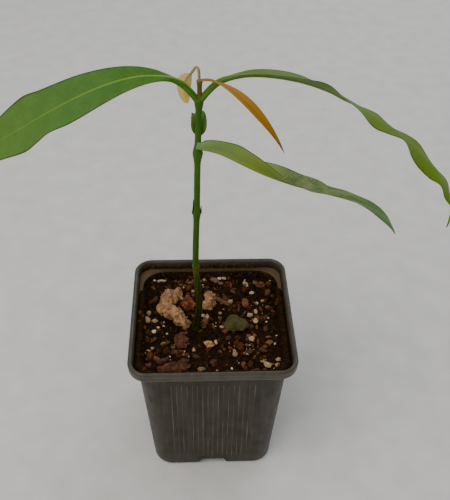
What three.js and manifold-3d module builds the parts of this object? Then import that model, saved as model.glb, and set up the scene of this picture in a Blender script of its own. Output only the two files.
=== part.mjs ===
// A potted achachairu seedling: a thin green stem with six leaves in a square nursery pot.
// Millimetres, +Z up. The origin is the middle of the pot's foot, on the surface it stands on.
// -Y is the side towards the viewer, +X is to the right.
import * as THREE from "three";
import { mergeVertices } from "three/addons/utils/BufferGeometryUtils.js";
import Module from "manifold-3d";

const wasm = await Module();
wasm.setup();

// Driving dimensions of the pot
const POT_WIDTH = 80; // over the rim
const POT_HEIGHT = 85;
const BODY_TOP = 72.8; // outside width just under the lip
const BODY_BOTTOM = 62.2; // outside width at the foot
const WALL = 1.1;
const LIP_HEIGHT = 5.4;
const LIP_OVERHANG = 0.8; // the lip widens by this from its lower edge to its middle
const RIM_ROUND = 1.2; // rounding of the rim's upper outer edge
const RIM_WIDTH = 2.4; // from the rim's outside to the collar inside
const RIM_BEVEL = 1.1; // slope on the rim's inner edge, as wide as it is high
const RIM_CORNER = 9; // corner radius of the rim, outside
const BODY_CORNER = 12; // corner radius of the body under the lip, outside
const FOOT_CORNER = 10; // corner radius of the body at the foot, outside
const FOOT_ROUND = 1.6; // rounded lower edge
const LEDGE_DEPTH = 5; // from the rim down to the ledge inside
const COLLAR_TAPER = 0.8; // the collar over the ledge is this much narrower at the ledge
const NOTCH_FOOT = 16.4; // width of the air channel under the pot, at the table
const NOTCH_TOP = 11.6;
const NOTCH_HEIGHT = 4.8;
const DRAIN_HOLE = 7; // diameter
const DRAIN_OUT = 19; // from the middle to each hole

// Driving dimensions of the soil and of what lies on it
const SOIL_LEVEL = 76;
const SOIL_RELIEF = 1.5; // height of its lumps
const SOIL_RINGS = 15; // rings of the soil's upper face
const SOIL_SIDE_STEPS = 9; // points along one side of a ring
const HEAP = 1.2; // thickness of the mix heaped on the ledge, at the front and the sides
const HEAP_START = 14; // the heap thins out towards the back from this y
const HEAP_END = 30; // and ends here
const EDGE_STEP = 0.3; // height between two rings of the soil's edge where there is no heap
const STEM_PAD = 3.4; // radius of the flat patch under the stem's foot
const CLEAR = 0.3; // gap that parts keep to each other

// Driving dimensions of the plant
const STEM_X = -8; // where the stem stands in the pot
const STEM_Y = -3.2;
const STEM_FOOT = SOIL_LEVEL + CLEAR;
const STEM_TOP = 206.2;
const STEM_RADIUS = 1.54; // above the flare
const STEM_TAPER = 0.17; // share of the radius lost by the fork
const FLARE_RADIUS = 0.75; // added at the foot
const FLARE_HEIGHT = 7.5;
const STEM_RINGS = 64;
const STEM_SIDES = 12;
const SHOOT_RADIUS = 0.95;
const SHOOT_LENGTH = 7.2;

const MATERIALS = {
  pot_plastic: { color: 0x424034, roughness: 0.55 },
  potting_mix: { color: 0x291b0e, roughness: 0.95 },
  green_stem: { color: 0x3a4f12, roughness: 0.5 },
  brown_shoot: { color: 0x805a17, roughness: 0.5 },
  leaf_green: { color: 0x54732c, roughness: 0.4 },
  leaf_pale_green: { color: 0x697630, roughness: 0.5 },
  leaf_bronze: { color: 0x8d6d2b, roughness: 0.45 },
  leaf_straw: { color: 0xb1985c, roughness: 0.5 },
  seed_husk: { color: 0x8d6a42, roughness: 0.9 },
  bark: { color: 0x4f2a17, roughness: 0.9 },
  mossy_stone: { color: 0x42391c, roughness: 0.85 },
  perlite: { color: 0xc9b596, roughness: 0.9 },
};

const rad = THREE.MathUtils.degToRad;

// Value of a smooth curve through [place, value] pairs in rising order of place.
function along(keys, place) {
  const last = keys.length - 1;
  if (place <= keys[0][0]) return keys[0][1];
  if (place >= keys[last][0]) return keys[last][1];
  let i = 0;
  while (place > keys[i + 1][0]) i += 1;
  const slope = (j) => {
    const before = keys[Math.max(j - 1, 0)];
    const after = keys[Math.min(j + 1, last)];
    return (after[1] - before[1]) / (after[0] - before[0]);
  };
  const span = keys[i + 1][0] - keys[i][0];
  const t = (place - keys[i][0]) / span;
  const t2 = t * t;
  const t3 = t2 * t;
  const ends = (2 * t3 - 3 * t2 + 1) * keys[i][1] + (3 * t2 - 2 * t3) * keys[i + 1][1];
  return ends + ((t3 - 2 * t2 + t) * slope(i) + (t3 - t2) * slope(i + 1)) * span;
}

// Smooth value noise between -1 and 1, the same on every run.
function noise(x, y, z, seed) {
  const hash = (i, j, k) => {
    const h = Math.sin(i * 127.1 + j * 311.7 + k * 74.7 + seed * 53.3) * 43758.5453;
    return 2 * (h - Math.floor(h)) - 1;
  };
  const [i, j, k] = [Math.floor(x), Math.floor(y), Math.floor(z)];
  const ease = (t) => t * t * (3 - 2 * t);
  const mix = (a, b, t) => a + (b - a) * t;
  const [u, v, w] = [ease(x - i), ease(y - j), ease(z - k)];
  const edge = (dj, dk) => mix(hash(i, j + dj, k + dk), hash(i + 1, j + dj, k + dk), u);
  return mix(mix(edge(0, 0), edge(1, 0), v), mix(edge(0, 1), edge(1, 1), v), w);
}

// Closed surface through rings of equally many points, with a fan over each end.
// Rings run anticlockwise when seen from the last ring's side.
function loft(rings) {
  const around = rings[0].length;
  const positions = [];
  const index = [];
  rings.forEach((ring) => ring.forEach((p) => positions.push(p.x, p.y, p.z)));
  for (let i = 0; i + 1 < rings.length; i += 1) {
    for (let j = 0; j < around; j += 1) {
      const a = i * around + j;
      const b = i * around + ((j + 1) % around);
      index.push(a, b, b + around, a, b + around, a + around);
    }
  }
  const fan = (ring, first, flip) => {
    const middle = new THREE.Vector3();
    ring.forEach((p) => middle.addScaledVector(p, 1 / around));
    const hub = positions.length / 3;
    positions.push(middle.x, middle.y, middle.z);
    for (let j = 0; j < around; j += 1) {
      const a = first + j;
      const b = first + ((j + 1) % around);
      if (flip) index.push(hub, b, a);
      else index.push(hub, a, b);
    }
  };
  fan(rings[0], 0, true);
  fan(rings[rings.length - 1], (rings.length - 1) * around, false);
  const geometry = new THREE.BufferGeometry();
  geometry.setAttribute("position", new THREE.Float32BufferAttribute(positions, 3));
  geometry.setIndex(index);
  return geometry;
}

// Geometry to solid and back, for cuts.
function solidOf(geometry) {
  const plain = new THREE.BufferGeometry();
  plain.setAttribute("position", geometry.getAttribute("position"));
  if (geometry.index) plain.setIndex(geometry.index);
  const merged = mergeVertices(plain, 1e-4);
  return new wasm.Manifold(
    new wasm.Mesh({
      numProp: 3,
      vertProperties: new Float32Array(merged.attributes.position.array),
      triVerts: new Uint32Array(merged.index.array),
    }),
  );
}

function geometryOf(solid) {
  const mesh = solid.getMesh();
  const geometry = new THREE.BufferGeometry();
  geometry.setAttribute("position", new THREE.BufferAttribute(mesh.vertProperties, 3));
  geometry.setIndex(new THREE.BufferAttribute(mesh.triVerts, 1));
  return geometry;
}

const model = new THREE.Group();

function addPart(name, solid, materialName) {
  const geometry = geometryOf(solid);
  geometry.computeVertexNormals();
  const mesh = new THREE.Mesh(geometry, new THREE.MeshStandardMaterial(MATERIALS[materialName]));
  mesh.name = name;
  model.add(mesh);
}

// Pot

// Square ring with round corners, in the plane at height z.
function squareRing(width, corner, z, cornerSteps = 5, sideSteps = 1) {
  const ring = [];
  const reach = width / 2 - corner;
  for (let side = 0; side < 4; side += 1) {
    const turn = (side * Math.PI) / 2;
    const corners = [
      [reach, reach],
      [-reach, reach],
      [-reach, -reach],
      [reach, -reach],
    ];
    const [cx, cy] = corners[side];
    for (let k = 0; k <= cornerSteps; k += 1) {
      const angle = turn + (k / cornerSteps) * (Math.PI / 2);
      const x = cx + corner * Math.cos(angle);
      const y = cy + corner * Math.sin(angle);
      ring.push(new THREE.Vector3(x, y, z));
    }
    const [nx, ny] = corners[(side + 1) % 4];
    const end = turn + Math.PI / 2;
    for (let k = 1; k < sideSteps; k += 1) {
      const t = k / sideSteps;
      const x = cx + (nx - cx) * t + corner * Math.cos(end);
      const y = cy + (ny - cy) * t + corner * Math.sin(end);
      ring.push(new THREE.Vector3(x, y, z));
    }
  }
  return ring;
}

// Outside width and corner radius of the tapering body at height z.
function bodyAt(z) {
  const t = z / (POT_HEIGHT - LIP_HEIGHT);
  return {
    width: BODY_BOTTOM + (BODY_TOP - BODY_BOTTOM) * t,
    corner: FOOT_CORNER + (BODY_CORNER - FOOT_CORNER) * t,
  };
}

function potOutside() {
  const foot = bodyAt(0);
  const heel = bodyAt(FOOT_ROUND);
  const underLip = POT_HEIGHT - LIP_HEIGHT;
  const top = bodyAt(underLip);
  return loft([
    squareRing(foot.width - 2 * FOOT_ROUND, foot.corner - FOOT_ROUND, 0),
    squareRing(foot.width - 0.6 * FOOT_ROUND, foot.corner - 0.3 * FOOT_ROUND, 0.3 * FOOT_ROUND),
    squareRing(heel.width, heel.corner, FOOT_ROUND),
    squareRing(top.width, top.corner, underLip),
    squareRing(POT_WIDTH - 2 * LIP_OVERHANG, RIM_CORNER, underLip),
    squareRing(POT_WIDTH - 0.5 * LIP_OVERHANG, RIM_CORNER, underLip + LIP_OVERHANG),
    squareRing(POT_WIDTH, RIM_CORNER, POT_HEIGHT - RIM_ROUND),
    squareRing(POT_WIDTH - 0.4 * RIM_ROUND, RIM_CORNER - 0.2 * RIM_ROUND, POT_HEIGHT - 0.3 * RIM_ROUND),
    squareRing(POT_WIDTH - 1.2 * RIM_ROUND, RIM_CORNER - 0.6 * RIM_ROUND, POT_HEIGHT),
  ]);
}

// The space inside the walls, narrowed by gap on every side. It ends at height top.
function potInside(gap, top) {
  const ledge = POT_HEIGHT - LEDGE_DEPTH;
  const inset = (z) => {
    const body = bodyAt(z);
    return squareRing(body.width - 2 * (WALL + gap), body.corner - WALL - gap, z);
  };
  const rings = [inset(WALL + gap), inset(Math.min(ledge, top))];
  if (top > ledge) {
    const collar = POT_WIDTH - 2 * RIM_WIDTH;
    const corner = RIM_CORNER - RIM_WIDTH;
    rings.push(squareRing(collar - COLLAR_TAPER, corner, ledge));
    rings.push(squareRing(collar, corner, POT_HEIGHT - RIM_BEVEL));
    rings.push(squareRing(collar + 2 * RIM_BEVEL, corner + RIM_BEVEL, POT_HEIGHT));
    rings.push(squareRing(collar + 2 * RIM_BEVEL, corner + RIM_BEVEL, top));
  }
  return loft(rings);
}

// Two crossing bars of trapezoid section: the air channels under the pot, grown by extra.
function crossBars(extra) {
  const half = NOTCH_FOOT / 2 + extra;
  const halfTop = NOTCH_TOP / 2 + extra;
  const below = -1;
  const section = new THREE.Shape();
  section.moveTo(-half, below);
  section.lineTo(half, below);
  section.lineTo(half, 0);
  section.lineTo(halfTop, NOTCH_HEIGHT + extra);
  section.lineTo(-halfTop, NOTCH_HEIGHT + extra);
  section.lineTo(-half, 0);
  section.closePath();
  const bar = new THREE.ExtrudeGeometry(section, { depth: POT_WIDTH, bevelEnabled: false });
  bar.translate(0, 0, -POT_WIDTH / 2);
  bar.rotateX(Math.PI / 2);
  const across = bar.clone().rotateZ(Math.PI / 2);
  return solidOf(bar).add(solidOf(across));
}

function drainHoles() {
  const holes = [0, 1, 2, 3].map((k) => {
    const hole = new THREE.CylinderGeometry(DRAIN_HOLE / 2, DRAIN_HOLE / 2, 12, 16);
    hole.rotateX(Math.PI / 2);
    hole.rotateZ((k * Math.PI) / 2);
    hole.translate(
      DRAIN_OUT * Math.cos((k * Math.PI) / 2),
      DRAIN_OUT * Math.sin((k * Math.PI) / 2),
      NOTCH_HEIGHT,
    );
    return solidOf(hole);
  });
  return holes.reduce((all, hole) => all.add(hole));
}

const innerRidges = crossBars(WALL);
const cavity = solidOf(potInside(0, POT_HEIGHT + 1)).subtract(innerRidges);
const pot = solidOf(potOutside()).subtract(cavity).subtract(crossBars(0)).subtract(drainHoles());
addPart("pot", pot, "pot_plastic");

// Soil

// Height of the potting mix: lumpy, flat where the stem stands.
function soilHeight(x, y) {
  const lumps = 0.6 * noise(x / 9, y / 9, 0, 1) + 0.4 * noise(x / 4.5, y / 4.5, 0, 2);
  const away = Math.hypot(x - STEM_X, y - STEM_Y);
  const blend = THREE.MathUtils.smoothstep(away, STEM_PAD, STEM_PAD + 4);
  return SOIL_LEVEL + SOIL_RELIEF * lumps * blend;
}

// How much of the heap there is on the ledge at y, from 1 down to 0 at the back.
function heapShare(y) {
  return 1 - THREE.MathUtils.smoothstep(y, HEAP_START, HEAP_END);
}

// How far the soil's edge has climbed to the ledge at y, from 0 at the back to 1.
function heapClimb(y) {
  return Math.min(1, 2 * heapShare(y));
}

// Ring at the soil's edge that climbs to the ledge where the mix is heaped and, with spread 1,
// reaches out over it. It first climbs and only then spreads, to stay clear of the wall.
function heapRing(edge, collar, low, high, spread) {
  return edge.map((point, k) => {
    const reach = Math.max(0, 1 - 4 * (1 - heapShare(point.y)));
    const moved = point.clone().lerp(collar[k], spread * reach);
    moved.z = low + (high - low) * heapClimb(point.y);
    return moved;
  });
}

function soilSolid() {
  const lowest = SOIL_LEVEL - 3;
  const block = solidOf(potInside(CLEAR, lowest)).subtract(crossBars(WALL + CLEAR));
  const body = bodyAt(SOIL_LEVEL);
  const width = body.width - 2 * (WALL + CLEAR) - 0.4;
  const corner = body.corner - WALL - CLEAR;
  const ledge = POT_HEIGHT - LEDGE_DEPTH;
  const collarWidth = POT_WIDTH - 2 * RIM_WIDTH - COLLAR_TAPER - 2 * CLEAR;
  const collarCorner = RIM_CORNER - RIM_WIDTH - CLEAR;
  const edge = squareRing(width, corner, 0, 3, SOIL_SIDE_STEPS);
  const collar = squareRing(collarWidth, collarCorner, 0, 3, SOIL_SIDE_STEPS);
  const rings = [
    squareRing(width - 0.6, corner, lowest - 0.5, 3, SOIL_SIDE_STEPS),
    heapRing(edge, collar, lowest + EDGE_STEP, ledge + CLEAR, 0),
    heapRing(edge, collar, lowest + 2 * EDGE_STEP, ledge + CLEAR, 1),
    heapRing(edge, collar, lowest + 3 * EDGE_STEP, ledge + HEAP, 1),
  ];
  for (let i = SOIL_RINGS; i > 0; i -= 1) {
    const share = i / SOIL_RINGS;
    const ring = squareRing(width * share, corner * share, 0, 3, SOIL_SIDE_STEPS);
    ring.forEach((p) => {
      const level = soilHeight(p.x, p.y);
      const climb = share === 1 ? heapClimb(p.y) : 0;
      p.z = level + (ledge + HEAP - level) * climb;
    });
    rings.push(ring);
  }
  return block.add(solidOf(loft(rings)));
}

const soil = soilSolid();

// Stem, from its flat cut at the soil to the fork
const STEM_ROUTE = [
  [STEM_X, STEM_FOOT],
  [STEM_X + 1.2, 86],
  [STEM_X + 1.9, 95],
  [STEM_X + 1.2, 103],
  [STEM_X + 0.5, 118],
  [STEM_X + 0.6, 130],
  [STEM_X + 1.3, 151],
  [STEM_X + 1.8, 174],
  [STEM_X + 2.8, STEM_TOP],
];
const STEM_NODES = [
  { height: 118.5, swell: 0.22, spread: 1.1 },
  { height: 149.5, swell: 0.4, spread: 2.2 },
  { height: 180.4, swell: 0.75, spread: 3.3 },
  { height: 204.0, swell: 0.55, spread: 2.6 },
];

function stemX(z) {
  return along(
    STEM_ROUTE.map(([x, height]) => [height, x]),
    z,
  );
}

function stemRadius(z) {
  const up = (z - STEM_FOOT) / (STEM_TOP - STEM_FOOT);
  const flare = FLARE_RADIUS * Math.exp(-(z - STEM_FOOT) / FLARE_HEIGHT);
  const swells = STEM_NODES.map((n) => n.swell * Math.exp(-(((z - n.height) / n.spread) ** 2)));
  return STEM_RADIUS * (1 - STEM_TAPER * up) + flare + swells.reduce((sum, s) => sum + s);
}

// Round upright limb: x and radius are functions of height.
function limb(bottom, top, steps, sides, xAt, radiusAt, y) {
  const rings = [];
  for (let i = 0; i <= steps; i += 1) {
    const z = bottom + ((top - bottom) * i) / steps;
    const ring = [];
    for (let k = 0; k < sides; k += 1) {
      const angle = (2 * Math.PI * k) / sides;
      const r = radiusAt(z);
      ring.push(new THREE.Vector3(xAt(z) + r * Math.cos(angle), y + r * Math.sin(angle), z));
    }
    rings.push(ring);
  }
  return loft(rings);
}

// The stem grown by extra on every side; its top closes in a low dome.
function stemSolid(extra) {
  const dome = (z) => {
    const left = STEM_TOP + extra - z;
    return Math.sqrt(Math.min(1, 0.12 + left / 1.6));
  };
  const radiusAt = (z) => (stemRadius(z) + extra) * dome(z);
  return solidOf(limb(STEM_FOOT, STEM_TOP + extra, STEM_RINGS, STEM_SIDES, stemX, radiusAt, STEM_Y));
}

const stem = stemSolid(0);
const roundStem = stemSolid(CLEAR);

// New shoot above the fork
const SHOOT_FOOT = STEM_TOP + CLEAR;
const SHOOT_TOP = SHOOT_FOOT + SHOOT_LENGTH;
const SHOOT_X = stemX(STEM_TOP) + 0.2;

function shootSolid(extra) {
  const radiusAt = (z) => {
    const node = 0.28 * Math.exp(-(((z - SHOOT_TOP + 1) / 1.3) ** 2));
    const left = SHOOT_TOP + extra - z;
    return (SHOOT_RADIUS + node + extra) * Math.sqrt(Math.min(1, 0.15 + left / 0.9));
  };
  return solidOf(limb(SHOOT_FOOT - extra, SHOOT_TOP + extra, 12, 10, () => SHOOT_X, radiusAt, STEM_Y));
}

const roundShoot = shootSolid(CLEAR);

// Leaves. Each midrib starts at foot and is steered by three lists of [place, degrees], with
// place from 0 at the foot to 1 at the tip: heading is the compass direction, 0 towards +X and
// 90 towards +Y; rise is the slope; roll tips the blade round its midrib. fold bends both
// halves up from the midrib. leftWave and rightWave lift the two margins off the blade's plane,
// in mm, along the blade. belly moves the widest place, and base and tip are lower for a
// blunter end.
const LEAVES = {
  leaf_upper_left: {
    material: "leaf_green",
    foot: [stemX(203.5), STEM_Y, 203.5],
    length: 119,
    petiole: 12,
    stalk: 2.65,
    width: 23.4,
    belly: 1.08,
    base: 0.75,
    tip: 0.85,
    heading: [[0, 184], [1, 188]],
    rise: [[0, 60], [0.07, 47], [0.13, 20], [0.2, 1], [0.3, -15], [0.45, -25]].concat(
      [[0.6, -29], [0.75, -29], [0.88, -38], [1, -50]],
    ),
    roll: [[0, -5], [0.3, -16], [0.6, -22], [1, -20]],
    fold: [[0, 8], [0.4, 2], [1, 2]],
    leftWave: [[0, 0], [0.3, 0], [0.42, 0.6], [0.5, 2.3], [0.56, 1], [0.62, -0.4]].concat(
      [[0.7, 0.7], [0.8, 1.3], [0.9, 0.3], [1, 0]],
    ),
    rightWave: [[0, 0], [0.42, 0], [0.5, 0.6], [0.56, 2.2], [0.62, 1.5], [0.68, 0.4]].concat(
      [[0.8, -1.2], [0.92, 0.6], [1, 0]],
    ),
    steps: 48,
  },
  leaf_upper_right: {
    material: "leaf_green",
    foot: [stemX(203.5), STEM_Y, 203.5],
    length: 148,
    petiole: 12,
    stalk: 2.65,
    width: 22,
    belly: 0.95,
    base: 0.95,
    tip: 0.95,
    heading: [[0, 2], [0.5, -4], [1, -8]],
    rise: [[0, 58], [0.06, 44], [0.1, 19], [0.17, 0], [0.28, -13], [0.4, -26]].concat(
      [[0.5, -31], [0.6, -37], [0.7, -43], [0.8, -51], [0.88, -67], [0.95, -86], [1, -100]],
    ),
    roll: [[0, -10], [0.2, -18], [0.4, -30], [0.5, -24], [0.6, -18], [0.7, -8], [1, 0]],
    fold: [[0, 25], [0.3, 8], [0.42, 0], [1, 0]],
    leftWave: [[0, 0.6], [0.13, 0.5], [0.24, 1.1], [0.3, 1.2], [0.36, 0.6], [0.41, 0.2]].concat(
      [[0.47, 1.1], [0.52, 1.5], [0.57, 0.2], [0.6, 0], [0.64, 0.7], [0.68, 1.1]],
      [[0.72, 0.3], [0.75, -0.8], [0.79, -0.4], [0.84, 0.9], [0.9, 0], [1, 0]],
    ),
    rightWave: [[0, 0], [0.22, 0], [0.29, 0.7], [0.35, -1.7], [0.4, -2.7], [0.46, -4.4]].concat(
      [[0.51, -2.9], [0.565, -0.8], [0.62, -2.7], [0.67, -3.4], [0.73, -3]],
      [[0.78, -1.4], [0.84, -2.4], [0.9, -0.9], [1, 0]],
    ),
    steps: 60,
  },
  leaf_lower_right: {
    material: "leaf_pale_green",
    foot: [stemX(184) - 0.5, STEM_Y - 1.6, 185.2],
    length: 98,
    petiole: 1,
    stalk: 3.2,
    width: 19,
    belly: 0.72,
    base: 0.64,
    tip: 0.22,
    heading: [[0, -2], [1, -4]],
    rise: [[0, -14], [0.1, -25], [0.2, -30], [0.35, -24], [0.5, -17]].concat(
      [[0.65, -16], [0.8, -27], [0.9, -42], [1, -66]],
    ),
    roll: [[0, -52], [0.2, -43], [0.3, -29], [0.4, -17], [0.5, -16], [0.85, -17], [1, -8]],
    fold: [[0, 28], [0.3, 27], [0.42, 22], [0.52, 14], [0.75, 12], [0.88, 3], [1, 0]],
    leftWave: [[0, 0], [0.42, 0], [0.5, 0.2], [0.55, 0.3], [0.59, -0.2], [0.63, -1.3]].concat(
      [[0.7, -0.9], [0.77, -0.6], [0.86, 0.8], [0.95, 0.6], [1, 0]],
    ),
    rightWave: [[0, 0.8], [0.08, 0.6], [0.145, 0.9], [0.2, 0], [0.5, -0.5], [0.62, 0.6]].concat(
      [[0.7, 0], [0.77, -0.9], [0.86, -1.4], [1, -0.4]],
    ),
    steps: 40,
  },
  leaf_lower_back: {
    material: "leaf_pale_green",
    foot: [stemX(185.5) + 0.5, STEM_Y + 0.8, 185.5],
    length: 17,
    petiole: 2,
    stalk: 1.6,
    width: 7.8,
    belly: 0.7,
    base: 1,
    tip: 1.2,
    heading: [[0, 95], [0.6, 100], [1, 170]],
    rise: [[0, 66], [0.45, 74], [0.6, 20], [0.75, -30], [1, -50]],
    roll: [[0, 0], [1, 0]],
    fold: [[0, 40], [1, 30]],
    leftWave: [[0, 0], [1, 0]],
    rightWave: [[0, 0], [1, 0]],
    steps: 20,
  },
  leaf_young_right: {
    material: "leaf_bronze",
    foot: [SHOOT_X - 0.5, STEM_Y, SHOOT_TOP - 1],
    length: 46.2,
    petiole: 6,
    stalk: 1.1,
    width: 5,
    belly: 0.9,
    base: 1.1,
    tip: 0.9,
    heading: [[0, -28], [1, -28]],
    rise: [[0, 30], [0.09, 12], [0.16, -8], [0.3, -22], [0.5, -36], [0.7, -45], [1, -57]],
    roll: [[0, 5], [1, 5]],
    fold: [[0, 14], [1, 10]],
    leftWave: [[0, 0], [0.4, 0.2], [0.7, -0.1], [1, 0]],
    rightWave: [[0, 0], [0.5, -0.2], [0.8, 0.1], [1, 0]],
    steps: 26,
  },
  leaf_young_back: {
    material: "leaf_straw",
    foot: [SHOOT_X, STEM_Y, SHOOT_TOP - 1],
    length: 24.4,
    petiole: 9.2,
    stalk: 1.1,
    width: 5.6,
    belly: 0.85,
    base: 1.1,
    tip: 0.5,
    heading: [[0, 145], [0.3, 150], [1, 150]],
    rise: [[0, 84], [0.17, 82], [0.22, 40], [0.25, -30], [0.3, -56], [0.45, -48]].concat(
      [[0.58, -64], [0.7, -86], [0.85, -102], [1, -112]],
    ),
    roll: [[0, 0], [0.35, 20], [0.5, 60], [1, 70]],
    fold: [[0, 10], [1, 10]],
    leftWave: [[0, 0], [0.4, 0.3], [0.8, -0.3], [1, 0]],
    rightWave: [[0, 0], [0.3, -0.3], [0.7, 0.4], [1, 0]],
    steps: 32,
  },
};
const LEAF_SECTION = 12; // points round a leaf's cross-section
const LEAF_SLIMNESS = 70; // length over the thickness at the midrib
const FINE_STEPS = 6; // steps of the midrib between two cross-sections
const WAVE_ONSET = 2.5; // the margins wave fully once the blade has 1 / this of its width

function midribFrame(leaf, place) {
  const heading = rad(along(leaf.heading, place));
  const rise = rad(along(leaf.rise, place));
  const ahead = new THREE.Vector3(
    Math.cos(rise) * Math.cos(heading),
    Math.cos(rise) * Math.sin(heading),
    Math.sin(rise),
  );
  const side = new THREE.Vector3(-Math.sin(heading), Math.cos(heading), 0);
  side.applyAxisAngle(ahead, rad(along(leaf.roll, place)));
  return { ahead, side, face: new THREE.Vector3().crossVectors(ahead, side) };
}

// Share of the full width at u, from 0 where the blade starts to 1 at its tip.
function bladeOutline(leaf, u) {
  if (u <= 0 || u >= 1) return 0;
  const share = u ** leaf.belly;
  return Math.sin(Math.PI * share) ** (share < 0.5 ? leaf.base : leaf.tip);
}

// Cross-section of a leaf round its midrib point: a circle on the stalk, a lens on the blade.
function leafRing(leaf, place, middle) {
  const { side, face } = midribFrame(leaf, place);
  const stalkShare = leaf.petiole / leaf.length;
  const u = (place - stalkShare) / (1 - stalkShare);
  const spread = bladeOutline(leaf, u);
  const stalk = (leaf.stalk / 2) * THREE.MathUtils.clamp(1.15 - 1.15 * u, 0.05, 1);
  const half = Math.max((leaf.width / 2) * spread, stalk);
  const blade = leaf.length / LEAF_SLIMNESS / 2;
  const thick = Math.min(half, Math.max(blade, (leaf.stalk / 2) * (1 - 6 * u)));
  const fold = rad(along(leaf.fold, place)) * THREE.MathUtils.smoothstep(spread, 0, 0.35);
  const grown = Math.min(1, WAVE_ONSET * spread);
  const leftLift = grown * along(leaf.leftWave, u);
  const rightLift = grown * along(leaf.rightWave, u);
  const ring = [];
  for (let k = 0; k < LEAF_SECTION; k += 1) {
    const angle = (2 * Math.PI * k) / LEAF_SECTION;
    const across = Math.cos(angle);
    const hand = Math.abs(across) < 1e-6 ? 0 : Math.sign(across);
    const outward = side.clone().multiplyScalar(hand * Math.cos(fold));
    outward.addScaledVector(face, Math.sin(fold));
    const normal = face.clone().multiplyScalar(Math.cos(fold));
    normal.addScaledVector(side, -hand * Math.sin(fold));
    const point = middle.clone().addScaledVector(outward, Math.abs(across) * half);
    const wave = (hand > 0 ? leftLift : rightLift) * across * across;
    ring.push(point.addScaledVector(normal.normalize(), wave + thick * Math.sin(angle)));
  }
  return ring;
}

function leafSolid(leaf) {
  const middle = new THREE.Vector3(...leaf.foot);
  const rings = [];
  for (let i = 0; i <= leaf.steps; i += 1) {
    rings.push(leafRing(leaf, i / leaf.steps, middle));
    for (let j = 0; j < FINE_STEPS; j += 1) {
      const place = (i + (j + 0.5) / FINE_STEPS) / leaf.steps;
      middle.addScaledVector(midribFrame(leaf, place).ahead, leaf.length / leaf.steps / FINE_STEPS);
    }
  }
  return solidOf(loft(rings));
}

// Bud scales at the second node: small curved points that stand clear of the stem
const BUD_SCALES = {
  bud_scale_left: { height: 149.6, angle: 180, length: 7.4, width: 1.7, thick: 0.6, lean: -0.02 },
  bud_scale_right: { height: 149.8, angle: -12, length: 4.2, width: 1.1, thick: 0.6, lean: 0.1 },
};

function budScale({ height, angle, length, width, thick, lean }) {
  const rings = [];
  const out = new THREE.Vector3(Math.cos(rad(angle)), Math.sin(rad(angle)), 0);
  const across = new THREE.Vector3(-out.y, out.x, 0);
  const steps = 8;
  for (let i = 0; i <= steps; i += 1) {
    const t = i / steps;
    const z = height + length * t;
    const share = Math.sqrt(Math.max(0.01, (1 - t) * (0.45 + 2.2 * t)));
    const reach = stemRadius(height) + CLEAR + thick / 2 + lean * length * t;
    const middle = new THREE.Vector3(stemX(z), STEM_Y, z).addScaledVector(out, reach);
    const ring = [];
    for (let k = 0; k < 8; k += 1) {
      const turn = (2 * Math.PI * k) / 8;
      const point = middle.clone().addScaledVector(across, (-width / 2) * share * Math.cos(turn));
      ring.push(point.addScaledVector(out, (thick / 2) * share * Math.sin(turn)));
    }
    rings.push(ring);
  }
  return solidOf(loft(rings));
}

// What lies on the soil. A ridge is a lumpy roll along a route of [x, y, height over the soil].
const RIDGE_SIDES = 10;
const RIDGES = {
  husk_left: {
    route: [[-14.6, 19.4, 1.3], [-20, 18.4, 2.2], [-23.6, 10.4, 2.5]].concat(
      [[-18.2, 3, 2.4], [-11.2, -3.4, 1.2]],
    ),
    radius: 4.1,
    seed: 3,
  },
  husk_right: {
    route: [[-1.4, 21.6, 1.4], [-0.4, 15.6, 2.2], [-2.8, 8.4, 0.8]],
    radius: 3.5,
    seed: 4,
  },
};

function ridgeSolid({ route, radius, seed }) {
  const points = route.map(([x, y, over]) => new THREE.Vector3(x, y, soilHeight(x, y) + over));
  const curve = new THREE.CatmullRomCurve3(points);
  const steps = 6 * (route.length - 1);
  const rings = [];
  for (let i = 0; i <= steps; i += 1) {
    const t = i / steps;
    const middle = curve.getPoint(t);
    const tangent = curve.getTangent(t);
    const side = new THREE.Vector3(0, 0, 1).cross(tangent).normalize();
    const up = tangent.cross(side);
    const taper = Math.sqrt(Math.max(0.05, 1 - (2 * t - 1) ** 4));
    const ring = [];
    for (let k = 0; k < RIDGE_SIDES; k += 1) {
      const angle = (2 * Math.PI * k) / RIDGE_SIDES;
      const direction = side.clone().multiplyScalar(Math.cos(angle));
      direction.addScaledVector(up, Math.sin(angle));
      const at = middle.clone().addScaledVector(direction, radius);
      const lumps = 1 + 0.3 * noise(at.x / 3, at.y / 3, at.z / 3, seed);
      ring.push(middle.clone().addScaledVector(direction, radius * taper * lumps));
    }
    rings.push(ring);
  }
  return solidOf(loft(rings));
}

// A chip is a lumpy stone or piece of bark: its middle, half sizes and turn in degrees.
const CHIPS = {
  husk_core: { material: "bark", at: [-11.7, 13.8, 1.5], half: [3.9, 4.6, 3.2], turn: 10, seed: 5 },
  husk_crumb: { material: "seed_husk", at: [-3.6, 0.2, 1], half: [2.2, 3.4, 2.1], turn: -20, seed: 6 },
  mossy_pebble: { material: "mossy_stone", at: [12, -0.9, 0.5], half: [6.4, 6.1, 3.5], turn: 0, seed: 7 },
  pale_chunk: { material: "perlite", at: [-1.8, -14.6, 0.7], half: [2.9, 2.3, 1.9], turn: -25, seed: 8 },
  bark_left: { material: "bark", at: [-15.4, -12, 0.7], half: [3.6, 5.2, 2], turn: 15, seed: 9 },
  bark_front: { material: "bark", at: [-18.4, -28.6, 0.3], half: [8, 3.4, 1.7], turn: 5, seed: 10 },
  bark_right: { material: "seed_husk", at: [17.7, 15, 0.8], half: [2.3, 3.4, 1.9], turn: 8, seed: 11 },
  bark_back: { material: "bark", at: [27, 28, 0.4], half: [3.4, 2.4, 1.7], turn: 30, seed: 12 },
};

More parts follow.
